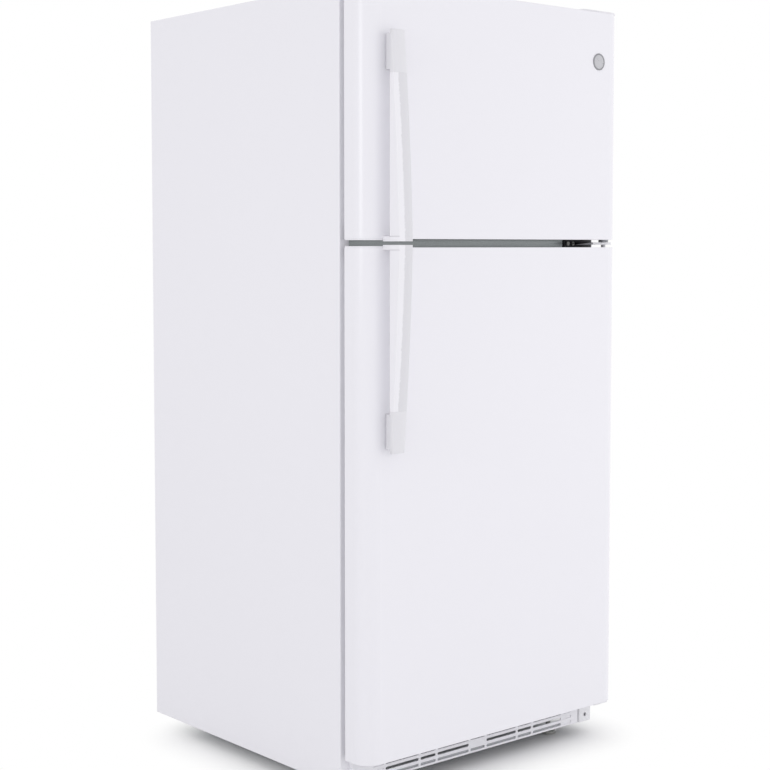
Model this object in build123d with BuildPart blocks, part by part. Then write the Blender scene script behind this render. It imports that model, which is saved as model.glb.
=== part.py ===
from build123d import *
import os

# Top freezer refrigerator: cabinet, two hinged doors, interior fittings and cooling parts.
# Millimetres. +X is right as seen from the front, +Y is back and +Z is up. The origin is on the floor,
# under the middle of the overall box.

# Overall sizes
CASE_WIDTH = 749.0
CASE_DEPTH = 694.0
CASE_BOTTOM = 30.0
CASE_TOP = 1654.0
GASKET_GAP = 16.0
DOOR_THICKNESS = 66.0
HANDLE_REACH = 62.0
TOTAL_DEPTH = CASE_DEPTH + GASKET_GAP + DOOR_THICKNESS + HANDLE_REACH

HALF = CASE_WIDTH / 2
CASE_BACK = TOTAL_DEPTH / 2
CASE_FRONT = CASE_BACK - CASE_DEPTH
DOOR_BACK = CASE_FRONT - GASKET_GAP
DOOR_FRONT = DOOR_BACK - DOOR_THICKNESS

# Sheet steel, liners and foam
SHEET = 1.2
LINER = 2.0
HEM_RADIUS = 3.0
FLANGE = 24.5
BACK_RECESS = 2.0
SIDE_WALL = 48.0
CAVITY_HALF = HALF - SIDE_WALL
CAVITY_RADIUS = 18.0
FOAM_FRONT = CASE_FRONT + LINER
FOAM_BACK = CASE_BACK - BACK_RECESS - SHEET
OVERCUT = 5.0

# Heights and depths of the two inner spaces
FREEZER_FLOOR = 1176.0
FREEZER_CEILING = 1604.0
FREEZER_BACK = 345.0
FRIDGE_FLOOR = 120.0
FRIDGE_CEILING = 1106.0
FRIDGE_BACK = 350.0
STEP_TOP = 400.0
STEP_BACK = 126.0

# Base and machine compartment
FOAM_BOTTOM = 88.0
BASE_SHEET = 2.0
MACHINE_FRONT = 190.0
MACHINE_TOP = 332.0
MACHINE_FLOOR = 52.0
RUNNER_BOTTOM = 34.0
RUNNER_WIDTH = 60.0
RUNNER_INNER = HALF - RUNNER_WIDTH

# Legs and rollers
LEG_X = 285.0
LEG_Y = CASE_FRONT + 45.0
LEG_PAD_RADIUS = 18.0
LEG_PAD_HEIGHT = 10.0
LEG_ROD_RADIUS = 6.0
LEG_PLATE_BOTTOM = 48.0
ROLLER_X = 285.0
ROLLER_Y = CASE_BACK - 90.0
ROLLER_RADIUS = 20.0
ROLLER_WIDTH = 22.0
AXLE_RADIUS = 4.0

# Running clearances
SHAFT_CLEARANCE = 0.05
FACE_CLEARANCE = 0.3

# Doors
FRIDGE_DOOR = (91.0, 1132.0)
FREEZER_DOOR = (1149.0, 1652.0)
DOOR_CORNER = 38.0
DOOR_RETURN = 24.0
END_CAP = 24.0
DOOR_LINER_HALF = 360.0
DOOR_LINER_INSET = 7.0
DOOR_LINER_BACK = DOOR_BACK + LINER
DIKE_OUTER = 306.0
DIKE_INNER = 276.0
DIKE_BACK = CASE_FRONT + 39.0
GASKET_WIDTH = 20.0
GASKET_CLEARANCE = 0.5
GASKET_BACK = CASE_FRONT - GASKET_CLEARANCE

# Hinges
HINGE_X = HALF - 14.0
HINGE_Y = DOOR_FRONT + 36.0
PIN_RADIUS = 5.0
PIN_LENGTH = 25.0
BUSH_RADIUS = 8.0
BUSH_FLANGE_RADIUS = 11.0
CENTER_PLATE = (1138.0, 1143.0)
BOTTOM_PLATE = (79.0, 84.0)
TOP_PLATE = (CASE_TOP, CASE_TOP + 4.0)

# Handles
HANDLE_LEFT = -333.0
HANDLE_WIDTH = 35.0
HANDLE_OVERHANG = 5.0
HANDLE_LENGTH = 413.0
FINGER_GAP = 24.0
HANDLE_TAPER = 14.0
HANDLE_BOW = 16.0
HANDLE_CROWN = (9.0, 4.5)
HANDLE_EDGE = 1.5
HANDLE_SECTIONS = 5
HANDLE_MOUNT_LENGTH = 76.0
HANDLE_MOUNT_INSET = 9.0
HANDLE_MOUNT_EDGE = 3.0
HANDLE_MOUNT_SETBACK = 6.0
HANDLE_FOOT_LENGTH = 10.0
HANDLE_FOOT_INSET = 3.0

# Interior fittings
LEDGE = 10.0
SHELF_FRONT = CASE_FRONT + 100.0
SHELF_LEVELS = (480.0, 660.0, 840.0)
SHELF_THICKNESS = 14.0
SHELF_RIM = 22.0
GLASS = 4.0
WIRE_SHELF_LEVEL = 1390.0
WIRE_RADIUS = 2.5
CRISPER_HEIGHT = 172.0
CRISPER_FRONT = CASE_FRONT + 92.0
CRISPER_BACK = STEP_BACK - 8.0
CRISPER_WALL = 2.5
CRISPER_COVER_LEVEL = 306.0
EVAPORATOR_COVER_BACK = 280.0
CONTROL_HALF = 150.0
CONTROL_FRONT = -110.0
CONTROL_BACK = 150.0
CONTROL_BOTTOM = 1044.0
DIAL_RADIUS = 17.0
DIAL_HEIGHT = 1075.0
DIAL_X = 70.0
SWITCH_X = 250.0
SWITCH_HEIGHT = 1096.0
SWITCH_BOSS = (CASE_FRONT + 12.0, CASE_FRONT + 52.0)
SWITCH_BOSS_HALF = 12.0
SWITCH_BOSS_LOW = 1086.0
PLUNGER_RADIUS = 4.5


def block(x, y, z, mode=Mode.ADD):
    """Adds the box between two opposite corners to the part in hand, or cuts it away."""
    middle = tuple((low + high) / 2 for low, high in (x, y, z))
    with Locations(middle):
        Box(x[1] - x[0], y[1] - y[0], z[1] - z[0], mode=mode)


def rod(start, end, radius, mode=Mode.ADD):
    """Adds or cuts a round bar from one point to another."""
    along = Vector(*end) - Vector(*start)
    with BuildSketch(Plane(origin=start, z_dir=along)) as disc:
        Circle(radius)
    extrude(disc.sketch, amount=along.length, mode=mode)


def across(y):
    """The upright plane across the cabinet at depth y: its x is +X, its y is +Z, and it faces the front."""
    return Plane.XZ.offset(-y)


def rounded_block(x, y, z, radius, mode=Mode.ADD):
    """Like block, with the four edges that run front to back rounded."""
    with BuildSketch(across(y[0])) as mouth:
        with Locations(((x[0] + x[1]) / 2, (z[0] + z[1]) / 2)):
            RectangleRounded(x[1] - x[0], z[1] - z[0], radius)
    extrude(mouth.sketch, amount=y[0] - y[1], mode=mode)


def both(half):
    """The range from minus a half width to plus it."""
    return (-half, half)


def grown(span, amount):
    """A range made longer at both ends."""
    return (span[0] - amount, span[1] + amount)


def side_span(side, inner, outer):
    """The X range from an inner to an outer distance, on the left (-1) or right (1) side."""
    return tuple(sorted((side * inner, side * outer)))


def save(piece, node):
    """Labels a finished piece and writes it under its node's name."""
    piece.part.label = node
    export_step(piece.part, f"parts/{node}.step")


os.makedirs("parts", exist_ok=True)

# Outer case: one wrapper of bent sheet for the sides and top, with a return flange round the front
with BuildPart() as outer_case:
    block(both(HALF), (CASE_FRONT, CASE_BACK), (CASE_BOTTOM, CASE_TOP))
    front_edges = outer_case.edges().filter_by(Axis.Z).group_by(Axis.Y)[0]
    top_edges = outer_case.edges().filter_by(Axis.Y).group_by(Axis.Z)[-1]
    brow_edge = outer_case.edges().filter_by(Axis.X).group_by(Axis.Z)[-1].sort_by(Axis.Y)[:1]
    fillet(front_edges + top_edges + brow_edge, HEM_RADIUS)
    block(
        both(HALF - SHEET),
        (CASE_FRONT + SHEET, CASE_BACK + OVERCUT),
        (CASE_BOTTOM - OVERCUT, CASE_TOP - SHEET),
        Mode.SUBTRACT,
    )
    block(
        both(HALF - FLANGE),
        (CASE_FRONT - OVERCUT, CASE_FRONT + OVERCUT),
        (CASE_BOTTOM - OVERCUT, CASE_TOP - FLANGE),
        Mode.SUBTRACT,
    )
save(outer_case, "outer_case")

# Rear panel: flat sheet with two long stiffening beads
BEAD_X = 190.0
BEAD_WIDTH = 24.0
BEAD_HEIGHT = 1.5
BEAD_MARGIN = 120.0
with BuildPart() as rear_panel:
    block(both(HALF - SHEET), (FOAM_BACK, FOAM_BACK + SHEET), (MACHINE_TOP, CASE_TOP - SHEET))
    for side in (-1, 1):
        block(
            side_span(side, BEAD_X - BEAD_WIDTH / 2, BEAD_X + BEAD_WIDTH / 2),
            (FOAM_BACK + SHEET, FOAM_BACK + SHEET + BEAD_HEIGHT),
            (MACHINE_TOP + BEAD_MARGIN, CASE_TOP - BEAD_MARGIN),
        )
save(rear_panel, "rear_panel")

# Insulation: foam between the wrapper, the liners and the machine compartment
with BuildPart() as insulation:
    block(both(HALF - SHEET), (FOAM_FRONT, FOAM_BACK), (FOAM_BOTTOM, CASE_TOP - SHEET))
    block(
        both(CAVITY_HALF + LINER),
        (CASE_FRONT - OVERCUT, FREEZER_BACK + LINER),
        (FREEZER_FLOOR - LINER, FREEZER_CEILING + LINER),
        Mode.SUBTRACT,
    )
    block(
        both(CAVITY_HALF + LINER),
        (CASE_FRONT - OVERCUT, FRIDGE_BACK + LINER),
        (STEP_TOP - LINER, FRIDGE_CEILING + LINER),
        Mode.SUBTRACT,
    )
    block(
        both(CAVITY_HALF + LINER),
        (CASE_FRONT - OVERCUT, STEP_BACK + LINER),
        (FRIDGE_FLOOR - LINER, STEP_TOP),
        Mode.SUBTRACT,
    )
    block(
        both(HALF + OVERCUT),
        (MACHINE_FRONT - BASE_SHEET, CASE_BACK + OVERCUT),
        (FOAM_BOTTOM - OVERCUT, MACHINE_TOP),
        Mode.SUBTRACT,
    )
save(insulation, "insulation")

# Freezer liner: moulded box with a front lip and a ledge for the wire shelf on each side
with BuildPart() as freezer_liner:
    block(
        both(CAVITY_HALF + LINER),
        (CASE_FRONT, FREEZER_BACK + LINER),
        (FREEZER_FLOOR - LINER, FREEZER_CEILING + LINER),
    )
    block(
        both(HALF - FLANGE),
        (CASE_FRONT, FOAM_FRONT),
        (FREEZER_FLOOR - LINER, CASE_TOP - FLANGE),
    )
    rounded_block(
        both(CAVITY_HALF),
        (CASE_FRONT, FREEZER_BACK),
        (FREEZER_FLOOR, FREEZER_CEILING),
        CAVITY_RADIUS,
        Mode.SUBTRACT,
    )
    for side in (-1, 1):
        block(
            side_span(side, CAVITY_HALF - LEDGE, CAVITY_HALF),
            (SHELF_FRONT, EVAPORATOR_COVER_BACK - LEDGE),
            (WIRE_SHELF_LEVEL - LEDGE, WIRE_SHELF_LEVEL),
        )
save(freezer_liner, "freezer_liner")

# Fridge liner: moulded box with a step over the machine compartment and ledges under the shelves
with BuildPart() as fridge_liner:
    block(
        both(CAVITY_HALF + LINER),
        (CASE_FRONT, FRIDGE_BACK + LINER),
        (STEP_TOP - LINER, FRIDGE_CEILING + LINER),
    )
    block(
        both(CAVITY_HALF + LINER),
        (CASE_FRONT, STEP_BACK + LINER),
        (FRIDGE_FLOOR - LINER, STEP_TOP),
    )
    block(
        both(HALF - FLANGE),
        (CASE_FRONT, FOAM_FRONT),
        (FOAM_BOTTOM, FRIDGE_CEILING + LINER),
    )
    rounded_block(
        both(CAVITY_HALF),
        (CASE_FRONT, STEP_BACK),
        (FRIDGE_FLOOR, FRIDGE_CEILING),
        CAVITY_RADIUS,
        Mode.SUBTRACT,
    )
    rounded_block(
        both(CAVITY_HALF),
        (CASE_FRONT, FRIDGE_BACK),
        (STEP_TOP, FRIDGE_CEILING),
        CAVITY_RADIUS,
        Mode.SUBTRACT,
    )
    for side in (-1, 1):
        for level in SHELF_LEVELS:
            block(
                side_span(side, CAVITY_HALF - LEDGE, CAVITY_HALF),
                (SHELF_FRONT, FRIDGE_BACK),
                (level - LEDGE, level),
            )
        block(
            side_span(side, CAVITY_HALF - LEDGE / 2, CAVITY_HALF),
            (CRISPER_FRONT, STEP_BACK),
            (CRISPER_COVER_LEVEL - LEDGE, CRISPER_COVER_LEVEL),
        )
    block(grown((SWITCH_X, SWITCH_X), SWITCH_BOSS_HALF), SWITCH_BOSS, (SWITCH_BOSS_LOW, FRIDGE_CEILING))
    rod(
        (SWITCH_X, SWITCH_BOSS[0] - OVERCUT, SWITCH_HEIGHT),
        (SWITCH_X, SWITCH_BOSS[1] - OVERCUT, SWITCH_HEIGHT),
        PLUNGER_RADIUS + FACE_CLEARANCE,
        Mode.SUBTRACT,
    )
save(fridge_liner, "fridge_liner")

# Light switch plunger: slides in the liner's boss, and the closing door pushes it back
PLUNGER_TIP = DOOR_LINER_BACK + 6.0
PLUNGER_TRAVEL = 6.0
PLUNGER_HEAD_RADIUS = 6.0
PLUNGER_HEAD = 5.0
PLUNGER_END_GAP = 1.0
PLUNGER_END = SWITCH_BOSS[1] - OVERCUT - PLUNGER_TRAVEL - PLUNGER_END_GAP
with BuildPart() as light_switch_plunger:
    rod(
        (SWITCH_X, PLUNGER_TIP, SWITCH_HEIGHT),
        (SWITCH_X, PLUNGER_END, SWITCH_HEIGHT),
        PLUNGER_RADIUS,
    )
    rod(
        (SWITCH_X, PLUNGER_TIP, SWITCH_HEIGHT),
        (SWITCH_X, PLUNGER_TIP + PLUNGER_HEAD, SWITCH_HEIGHT),
        PLUNGER_HEAD_RADIUS,
    )
save(light_switch_plunger, "light_switch_plunger")

# Mullion rail: the bare metal face between the two openings, which both gaskets seal on
with BuildPart() as mullion_rail:
    block(
        both(HALF - FLANGE),
        (CASE_FRONT, FOAM_FRONT),
        (FRIDGE_CEILING + LINER, FREEZER_FLOOR - LINER),
    )
save(mullion_rail, "mullion_rail")

# Base frame: pan under the foam, machine compartment walls, runners, leg plates and roller forks
FORK = 2.0
ROLLER_SIDE_GAP = 1.0
FORK_HALF = ROLLER_WIDTH / 2 + ROLLER_SIDE_GAP
FORK_LENGTH = 18.0
FORK_BOTTOM = 10.0
LEG_PLATE = 4.0
LEG_PLATE_REACH = 20.0
FRAME_BACK = CASE_BACK - 6.0
with BuildPart() as base_frame:
    pan_width = both(HALF - SHEET)
    riser = (MACHINE_FRONT - BASE_SHEET, MACHINE_FRONT)
    block(pan_width, (FOAM_FRONT, MACHINE_FRONT), (FOAM_BOTTOM - BASE_SHEET, FOAM_BOTTOM))
    block(pan_width, riser, (FOAM_BOTTOM - BASE_SHEET, MACHINE_TOP))
    block(pan_width, (riser[0], FOAM_BACK), (MACHINE_TOP - BASE_SHEET, MACHINE_TOP))
    block(
        both(RUNNER_INNER + BASE_SHEET),
        (riser[0], FRAME_BACK),
        (MACHINE_FLOOR - BASE_SHEET, MACHINE_FLOOR),
    )
    for side in (-1, 1):
        web = side_span(side, RUNNER_INNER, RUNNER_INNER + BASE_SHEET)
        runner = side_span(side, RUNNER_INNER, HALF - SHEET)
        block(web, (FOAM_FRONT, FRAME_BACK), (RUNNER_BOTTOM, FOAM_BOTTOM))
        block(runner, (FOAM_FRONT, FRAME_BACK), (RUNNER_BOTTOM, RUNNER_BOTTOM + BASE_SHEET))
        block(runner, (FOAM_FRONT, FOAM_FRONT + BASE_SHEET), (RUNNER_BOTTOM, FOAM_BOTTOM))
        block(
            side_span(side, LEG_X - LEG_PLATE_REACH, RUNNER_INNER + BASE_SHEET),
            (LEG_Y - LEG_PLATE_REACH, LEG_Y + LEG_PLATE_REACH),
            (LEG_PLATE_BOTTOM, LEG_PLATE_BOTTOM + LEG_PLATE),
        )
        rod(
            (side * LEG_X, LEG_Y, LEG_PLATE_BOTTOM - OVERCUT),
            (side * LEG_X, LEG_Y, LEG_PLATE_BOTTOM + LEG_PLATE + OVERCUT),
            LEG_ROD_RADIUS + FACE_CLEARANCE,
            Mode.SUBTRACT,
        )
        for fork in (-FORK_HALF - FORK, FORK_HALF):
            block(
                (side * ROLLER_X + fork, side * ROLLER_X + fork + FORK),
                (ROLLER_Y - FORK_LENGTH, ROLLER_Y + FORK_LENGTH),
                (FORK_BOTTOM, MACHINE_FLOOR),
            )
        rod(
            (side * ROLLER_X - FORK_HALF - FORK, ROLLER_Y, ROLLER_RADIUS),
            (side * ROLLER_X + FORK_HALF + FORK, ROLLER_Y, ROLLER_RADIUS),
            AXLE_RADIUS,
        )
save(base_frame, "base_frame")

# Rear rollers on the fork axles, and front legs that screw up and down through the leg plates
LEG_ROD_TOP = 78.0
LEG_PAD_CHAMFER = 2.0
ROLLER_EDGE = 2.0
for side, hand in ((-1, "left"), (1, "right")):
    with BuildPart() as roller:
        start = side * ROLLER_X - ROLLER_WIDTH / 2
        rod((start, ROLLER_Y, ROLLER_RADIUS), (start + ROLLER_WIDTH, ROLLER_Y, ROLLER_RADIUS), ROLLER_RADIUS)
        fillet(roller.edges().filter_by(GeomType.CIRCLE), ROLLER_EDGE)
        rod(
            (start - OVERCUT, ROLLER_Y, ROLLER_RADIUS),
            (start + ROLLER_WIDTH + OVERCUT, ROLLER_Y, ROLLER_RADIUS),
            AXLE_RADIUS + SHAFT_CLEARANCE,
            Mode.SUBTRACT,
        )
    save(roller, f"{hand}_roller")
    with BuildPart() as leg:
        foot = (side * LEG_X, LEG_Y, 0.0)
        rod(foot, (foot[0], foot[1], LEG_PAD_HEIGHT), LEG_PAD_RADIUS)
        chamfer(leg.edges().group_by(Axis.Z)[-1], LEG_PAD_CHAMFER)
        rod((foot[0], foot[1], LEG_PAD_HEIGHT), (foot[0], foot[1], LEG_ROD_TOP), LEG_ROD_RADIUS)
    save(leg, f"{hand}_leg")

# Toe grille: a plate ahead of the case front, returned to the case at its ends. Its three rows of slots are
# long and short by turns, blind at the ends, and the middle row has none at the center
GRILLE_LEFT = -352.0
GRILLE_RIGHT = 326.0
GRILLE_FRONT = CASE_FRONT - 11.0
GRILLE_PLATE = 3.0
GRILLE_HEIGHT = (28.0, 86.0)
GRILLE_CORNER = 2.0
SLOT_UNIT = 48.7
SLOT_HEIGHT = 6.0
SLOT_RIB = 5.0
SLOT_MIDDLE = 3.5
SLOT_LEVELS = (36.0, 48.5, 61.0)
SIDE_SLOTS = ((0.5, 2.5), (2.5, 3.5), (3.5, 5.5))
END_SLOT = (5.5, 6.2)
END_SLOT_DEPTH = 1.5


def cut_slots(spans, level, depth):
    """Cuts a row of round-ended slots into the grille, each between two counts of units off the middle."""
    with BuildSketch(across(GRILLE_FRONT - OVERCUT)) as row:
        for start, end in spans:
            with Locations((SLOT_MIDDLE + (start + end) / 2 * SLOT_UNIT, level)):
                SlotOverall((end - start) * SLOT_UNIT - SLOT_RIB, SLOT_HEIGHT)
    extrude(row.sketch, amount=-OVERCUT - depth, mode=Mode.SUBTRACT)


def mirrored(spans):
    """Spans on the right of the middle, with their mirror images on its left."""
    return list(spans) + [(-end, -start) for start, end in spans]


with BuildPart() as base_grille:
    block((GRILLE_LEFT, GRILLE_RIGHT), (GRILLE_FRONT, CASE_FRONT), GRILLE_HEIGHT)
    fillet(base_grille.edges().group_by(Axis.Y)[0], GRILLE_CORNER)
    block(
        (GRILLE_LEFT + GRILLE_PLATE, GRILLE_RIGHT - GRILLE_PLATE),
        (GRILLE_FRONT + GRILLE_PLATE, CASE_FRONT + OVERCUT),
        grown(GRILLE_HEIGHT, OVERCUT),
        Mode.SUBTRACT,
    )
    for level in SLOT_LEVELS:
        through = mirrored(SIDE_SLOTS)
        if level != SLOT_LEVELS[1]:
            through.append((-SIDE_SLOTS[0][0], SIDE_SLOTS[0][0]))
        cut_slots(through, level, GRILLE_PLATE + OVERCUT)
        cut_slots(mirrored([END_SLOT]), level, END_SLOT_DEPTH)
save(base_grille, "base_grille")

# Top hinge: plate screwed to the case top, with the pin that hangs into the freezer door
TOP_HINGE_X = (324.0, 371.0)
TOP_HINGE_BACK = CASE_FRONT + 105.0
PIN_MARGIN = 13.0
with BuildPart() as top_hinge:
    block(TOP_HINGE_X, (HINGE_Y - PIN_MARGIN, TOP_HINGE_BACK), TOP_PLATE)
    rod((HINGE_X, HINGE_Y, TOP_PLATE[0]), (HINGE_X, HINGE_Y, TOP_PLATE[0] - PIN_LENGTH), PIN_RADIUS)
save(top_hinge, "top_hinge")

# Top hinge cover: a low cap over the plate, open underneath
COVER_MARGIN = 2.5
COVER_WALL = 2.0
COVER_TOP = CASE_TOP + 16.0
COVER_EDGE = 4.0
with BuildPart() as top_hinge_cover:
    cover_x = (TOP_HINGE_X[0] - 2 * COVER_MARGIN, TOP_HINGE_X[1] + COVER_MARGIN)
    cover_y = (HINGE_Y - PIN_MARGIN - 2 * COVER_MARGIN, TOP_HINGE_BACK + 2 * COVER_MARGIN)
    block(cover_x, cover_y, (CASE_TOP, COVER_TOP))
    rim = top_hinge_cover.faces().sort_by(Axis.Z)[-1].edges()
    fillet(rim + top_hinge_cover.edges().filter_by(Axis.Z), COVER_EDGE)
    block(
        grown(cover_x, -COVER_WALL),
        grown(cover_y, -COVER_WALL),
        (CASE_TOP - OVERCUT, COVER_TOP - COVER_WALL),
        Mode.SUBTRACT,
    )
save(top_hinge_cover, "top_hinge_cover")

# Center hinge: bracket on the mullion with a pin up into the freezer door and one down into the fridge door
CENTER_FLANGE_X = (278.0, 366.0)
CENTER_PLATE_X = (312.0, 372.0)
CENTER_FLANGE_Z = (1128.0, 1153.0)
HINGE_FLANGE = 4.0
with BuildPart() as center_hinge:
    block(CENTER_FLANGE_X, (CASE_FRONT - HINGE_FLANGE, CASE_FRONT), CENTER_FLANGE_Z)
    block(CENTER_PLATE_X, (HINGE_Y - PIN_MARGIN, CASE_FRONT), CENTER_PLATE)
    rod(
        (HINGE_X, HINGE_Y, CENTER_PLATE[0] - PIN_LENGTH),
        (HINGE_X, HINGE_Y, CENTER_PLATE[1] + PIN_LENGTH),
        PIN_RADIUS,
    )
save(center_hinge, "center_hinge")

# Bottom hinge: channel on the case front beside the grille, with a screw hole in its face and a pin on top
BOTTOM_HINGE_X = (329.0, 369.0)
BOTTOM_HINGE_FRONT = CASE_FRONT - 12.0
BOTTOM_HINGE_LOW = 28.0
BOTTOM_HINGE_EDGE = 3.0
PLATE_OVERLAP = 1.0
FACE_HOLE = (349.0, 44.0)
FACE_HOLE_RADIUS = 4.5
with BuildPart() as bottom_hinge:
    block(BOTTOM_HINGE_X, (BOTTOM_HINGE_FRONT, CASE_FRONT), (BOTTOM_HINGE_LOW, BOTTOM_PLATE[1]))
    fillet(bottom_hinge.edges().filter_by(Axis.Z).group_by(Axis.Y)[0], BOTTOM_HINGE_EDGE)
    block(
        grown(BOTTOM_HINGE_X, -HINGE_FLANGE),
        (BOTTOM_HINGE_FRONT + HINGE_FLANGE, CASE_FRONT + OVERCUT),
        (BOTTOM_HINGE_LOW - OVERCUT, BOTTOM_PLATE[0]),
        Mode.SUBTRACT,
    )
    block(
        (BOTTOM_HINGE_X[0], CENTER_PLATE_X[1]),
        (HINGE_Y - PIN_MARGIN, BOTTOM_HINGE_FRONT + PLATE_OVERLAP),
        BOTTOM_PLATE,
    )
    rod((HINGE_X, HINGE_Y, BOTTOM_PLATE[0]), (HINGE_X, HINGE_Y, BOTTOM_PLATE[1] + PIN_LENGTH), PIN_RADIUS)
    rod(
        (FACE_HOLE[0], BOTTOM_HINGE_FRONT - OVERCUT, FACE_HOLE[1]),
        (FACE_HOLE[0], BOTTOM_HINGE_FRONT + OVERCUT, FACE_HOLE[1]),
        FACE_HOLE_RADIUS,
        Mode.SUBTRACT,
    )
save(bottom_hinge, "bottom_hinge")

# Hinge screws: hexagon heads on the top plate and on the center bracket's flange
SCREW_RADIUS = 5.0
SCREW_HEAD = 3.5
TOP_SCREWS = ((336.0, CASE_FRONT + 30.0), (336.0, CASE_FRONT + 85.0), (360.0, CASE_FRONT + 58.0))
CENTER_SCREWS = (286.0, 302.0)
CENTER_SCREW_HEIGHT = 1140.5
with BuildPart() as hinge_screws:
    with BuildSketch(Plane.XY.offset(TOP_PLATE[1])):
        with Locations(*TOP_SCREWS):
            RegularPolygon(SCREW_RADIUS, 6)
    extrude(amount=SCREW_HEAD)
    with BuildSketch(across(CASE_FRONT - HINGE_FLANGE)):
        with Locations(*((x, CENTER_SCREW_HEIGHT) for x in CENTER_SCREWS)):
            RegularPolygon(SCREW_RADIUS, 6)
    extrude(amount=SCREW_HEAD)
save(hinge_screws, "hinge_screws")


def door_section(z, inset):
    """The door's plan outline at a height, drawn in by an inset: flat front with large round corners."""
    with BuildSketch(Plane.XY.offset(z)) as section:
        with Locations((0, (DOOR_FRONT + DOOR_BACK) / 2)):
            Rectangle(2 * (HALF - inset), DOOR_THICKNESS - 2 * inset)
        fillet(section.vertices().group_by(Axis.Y)[0], DOOR_CORNER - inset)
    return section.sketch


# Door liners' raised dikes, which hold the bins
DIKE_BAND = 26.0
DIKE_RADIUS = 20.0
FREEZER_DIKE = (1196.0, 1584.0)
FRIDGE_DIKE = (430.0, 1078.0)
BUSH_LENGTH = 22.0


def build_door(name, span, dike, plate_below):
    """One door: bent skin, foam core, end caps, hinge bushings, inner liner and magnetic gasket."""
    low, high = span
    height = high - low
    foam_span = grown(span, -END_CAP)
    seal_span = grown(span, -DOOR_LINER_INSET)

    with BuildPart() as skin:
        extrude(door_section(low, 0.0), amount=height)
        extrude(door_section(low - OVERCUT, SHEET), amount=height + 2 * OVERCUT, mode=Mode.SUBTRACT)
        block(
            both(HALF - DOOR_RETURN),
            (DOOR_BACK - OVERCUT, DOOR_BACK + OVERCUT),
            grown(span, OVERCUT),
            Mode.SUBTRACT,
        )
    save(skin, f"{name}_door_skin")

    with BuildPart() as core:
        extrude(door_section(foam_span[0], SHEET), amount=foam_span[1] - foam_span[0])
        block(both(HALF - DOOR_RETURN), (DOOR_BACK - SHEET, DOOR_BACK), foam_span)
    save(core, f"{name}_door_core")

    with BuildPart() as end_caps:
        for bottom in (low, high - END_CAP):
            extrude(door_section(bottom, SHEET), amount=END_CAP)
        rod(
            (HINGE_X, HINGE_Y, low - OVERCUT),
            (HINGE_X, HINGE_Y, high + OVERCUT),
            BUSH_RADIUS,
            Mode.SUBTRACT,
        )
    save(end_caps, f"{name}_door_end_caps")

    with BuildPart() as bushings:
        rod((HINGE_X, HINGE_Y, low), (HINGE_X, HINGE_Y, low + BUSH_LENGTH), BUSH_RADIUS)
        rod((HINGE_X, HINGE_Y, plate_below + FACE_CLEARANCE), (HINGE_X, HINGE_Y, low), BUSH_FLANGE_RADIUS)
        rod((HINGE_X, HINGE_Y, high - BUSH_LENGTH), (HINGE_X, HINGE_Y, high), BUSH_RADIUS)
        rod(
            (HINGE_X, HINGE_Y, plate_below - OVERCUT),
            (HINGE_X, HINGE_Y, high + OVERCUT),
            PIN_RADIUS + SHAFT_CLEARANCE,
            Mode.SUBTRACT,
        )
    save(bushings, f"{name}_door_bushings")

    with BuildPart() as liner:
        block(both(DOOR_LINER_HALF), (DOOR_BACK, DOOR_LINER_BACK), seal_span)
        rounded_block(both(DIKE_OUTER), (DOOR_LINER_BACK, DIKE_BACK), dike, DIKE_RADIUS)
        rounded_block(
            both(DIKE_INNER),
            (DOOR_LINER_BACK, DIKE_BACK + OVERCUT),
            grown(dike, -DIKE_BAND),
            DIKE_RADIUS / 2,
            Mode.SUBTRACT,
        )
    save(liner, f"{name}_door_liner")

    with BuildPart() as gasket:
        block(both(DOOR_LINER_HALF), (DOOR_LINER_BACK, GASKET_BACK), seal_span)
        block(
            both(DOOR_LINER_HALF - GASKET_WIDTH),
            (DOOR_LINER_BACK - OVERCUT, GASKET_BACK + OVERCUT),
            grown(seal_span, -GASKET_WIDTH),
            Mode.SUBTRACT,
        )
    save(gasket, f"{name}_door_gasket")


build_door("freezer", FREEZER_DOOR, FREEZER_DIKE, CENTER_PLATE[1])
build_door("fridge", FRIDGE_DOOR, FRIDGE_DIKE, BOTTOM_PLATE[1])


def handle_section(share):
    """The bar's plan outline at a share of its length from the gap: flat back and crowned front."""
    reach = HANDLE_REACH - HANDLE_TAPER * share - HANDLE_BOW * share**2
    crown = HANDLE_CROWN[0] + (HANDLE_CROWN[1] - HANDLE_CROWN[0]) * share
    left, right = HANDLE_LEFT, HANDLE_LEFT + HANDLE_WIDTH
    back = DOOR_FRONT - FINGER_GAP
    shoulder = DOOR_FRONT - reach + crown
    with BuildSketch() as section:
        with BuildLine():
            Polyline((left, shoulder), (left, back), (right, back), (right, shoulder))
            ThreePointArc((right, shoulder), ((left + right) / 2, DOOR_FRONT - reach), (left, shoulder))
        make_face()
        fillet(section.vertices(), HANDLE_EDGE)
    return section.sketch


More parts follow.
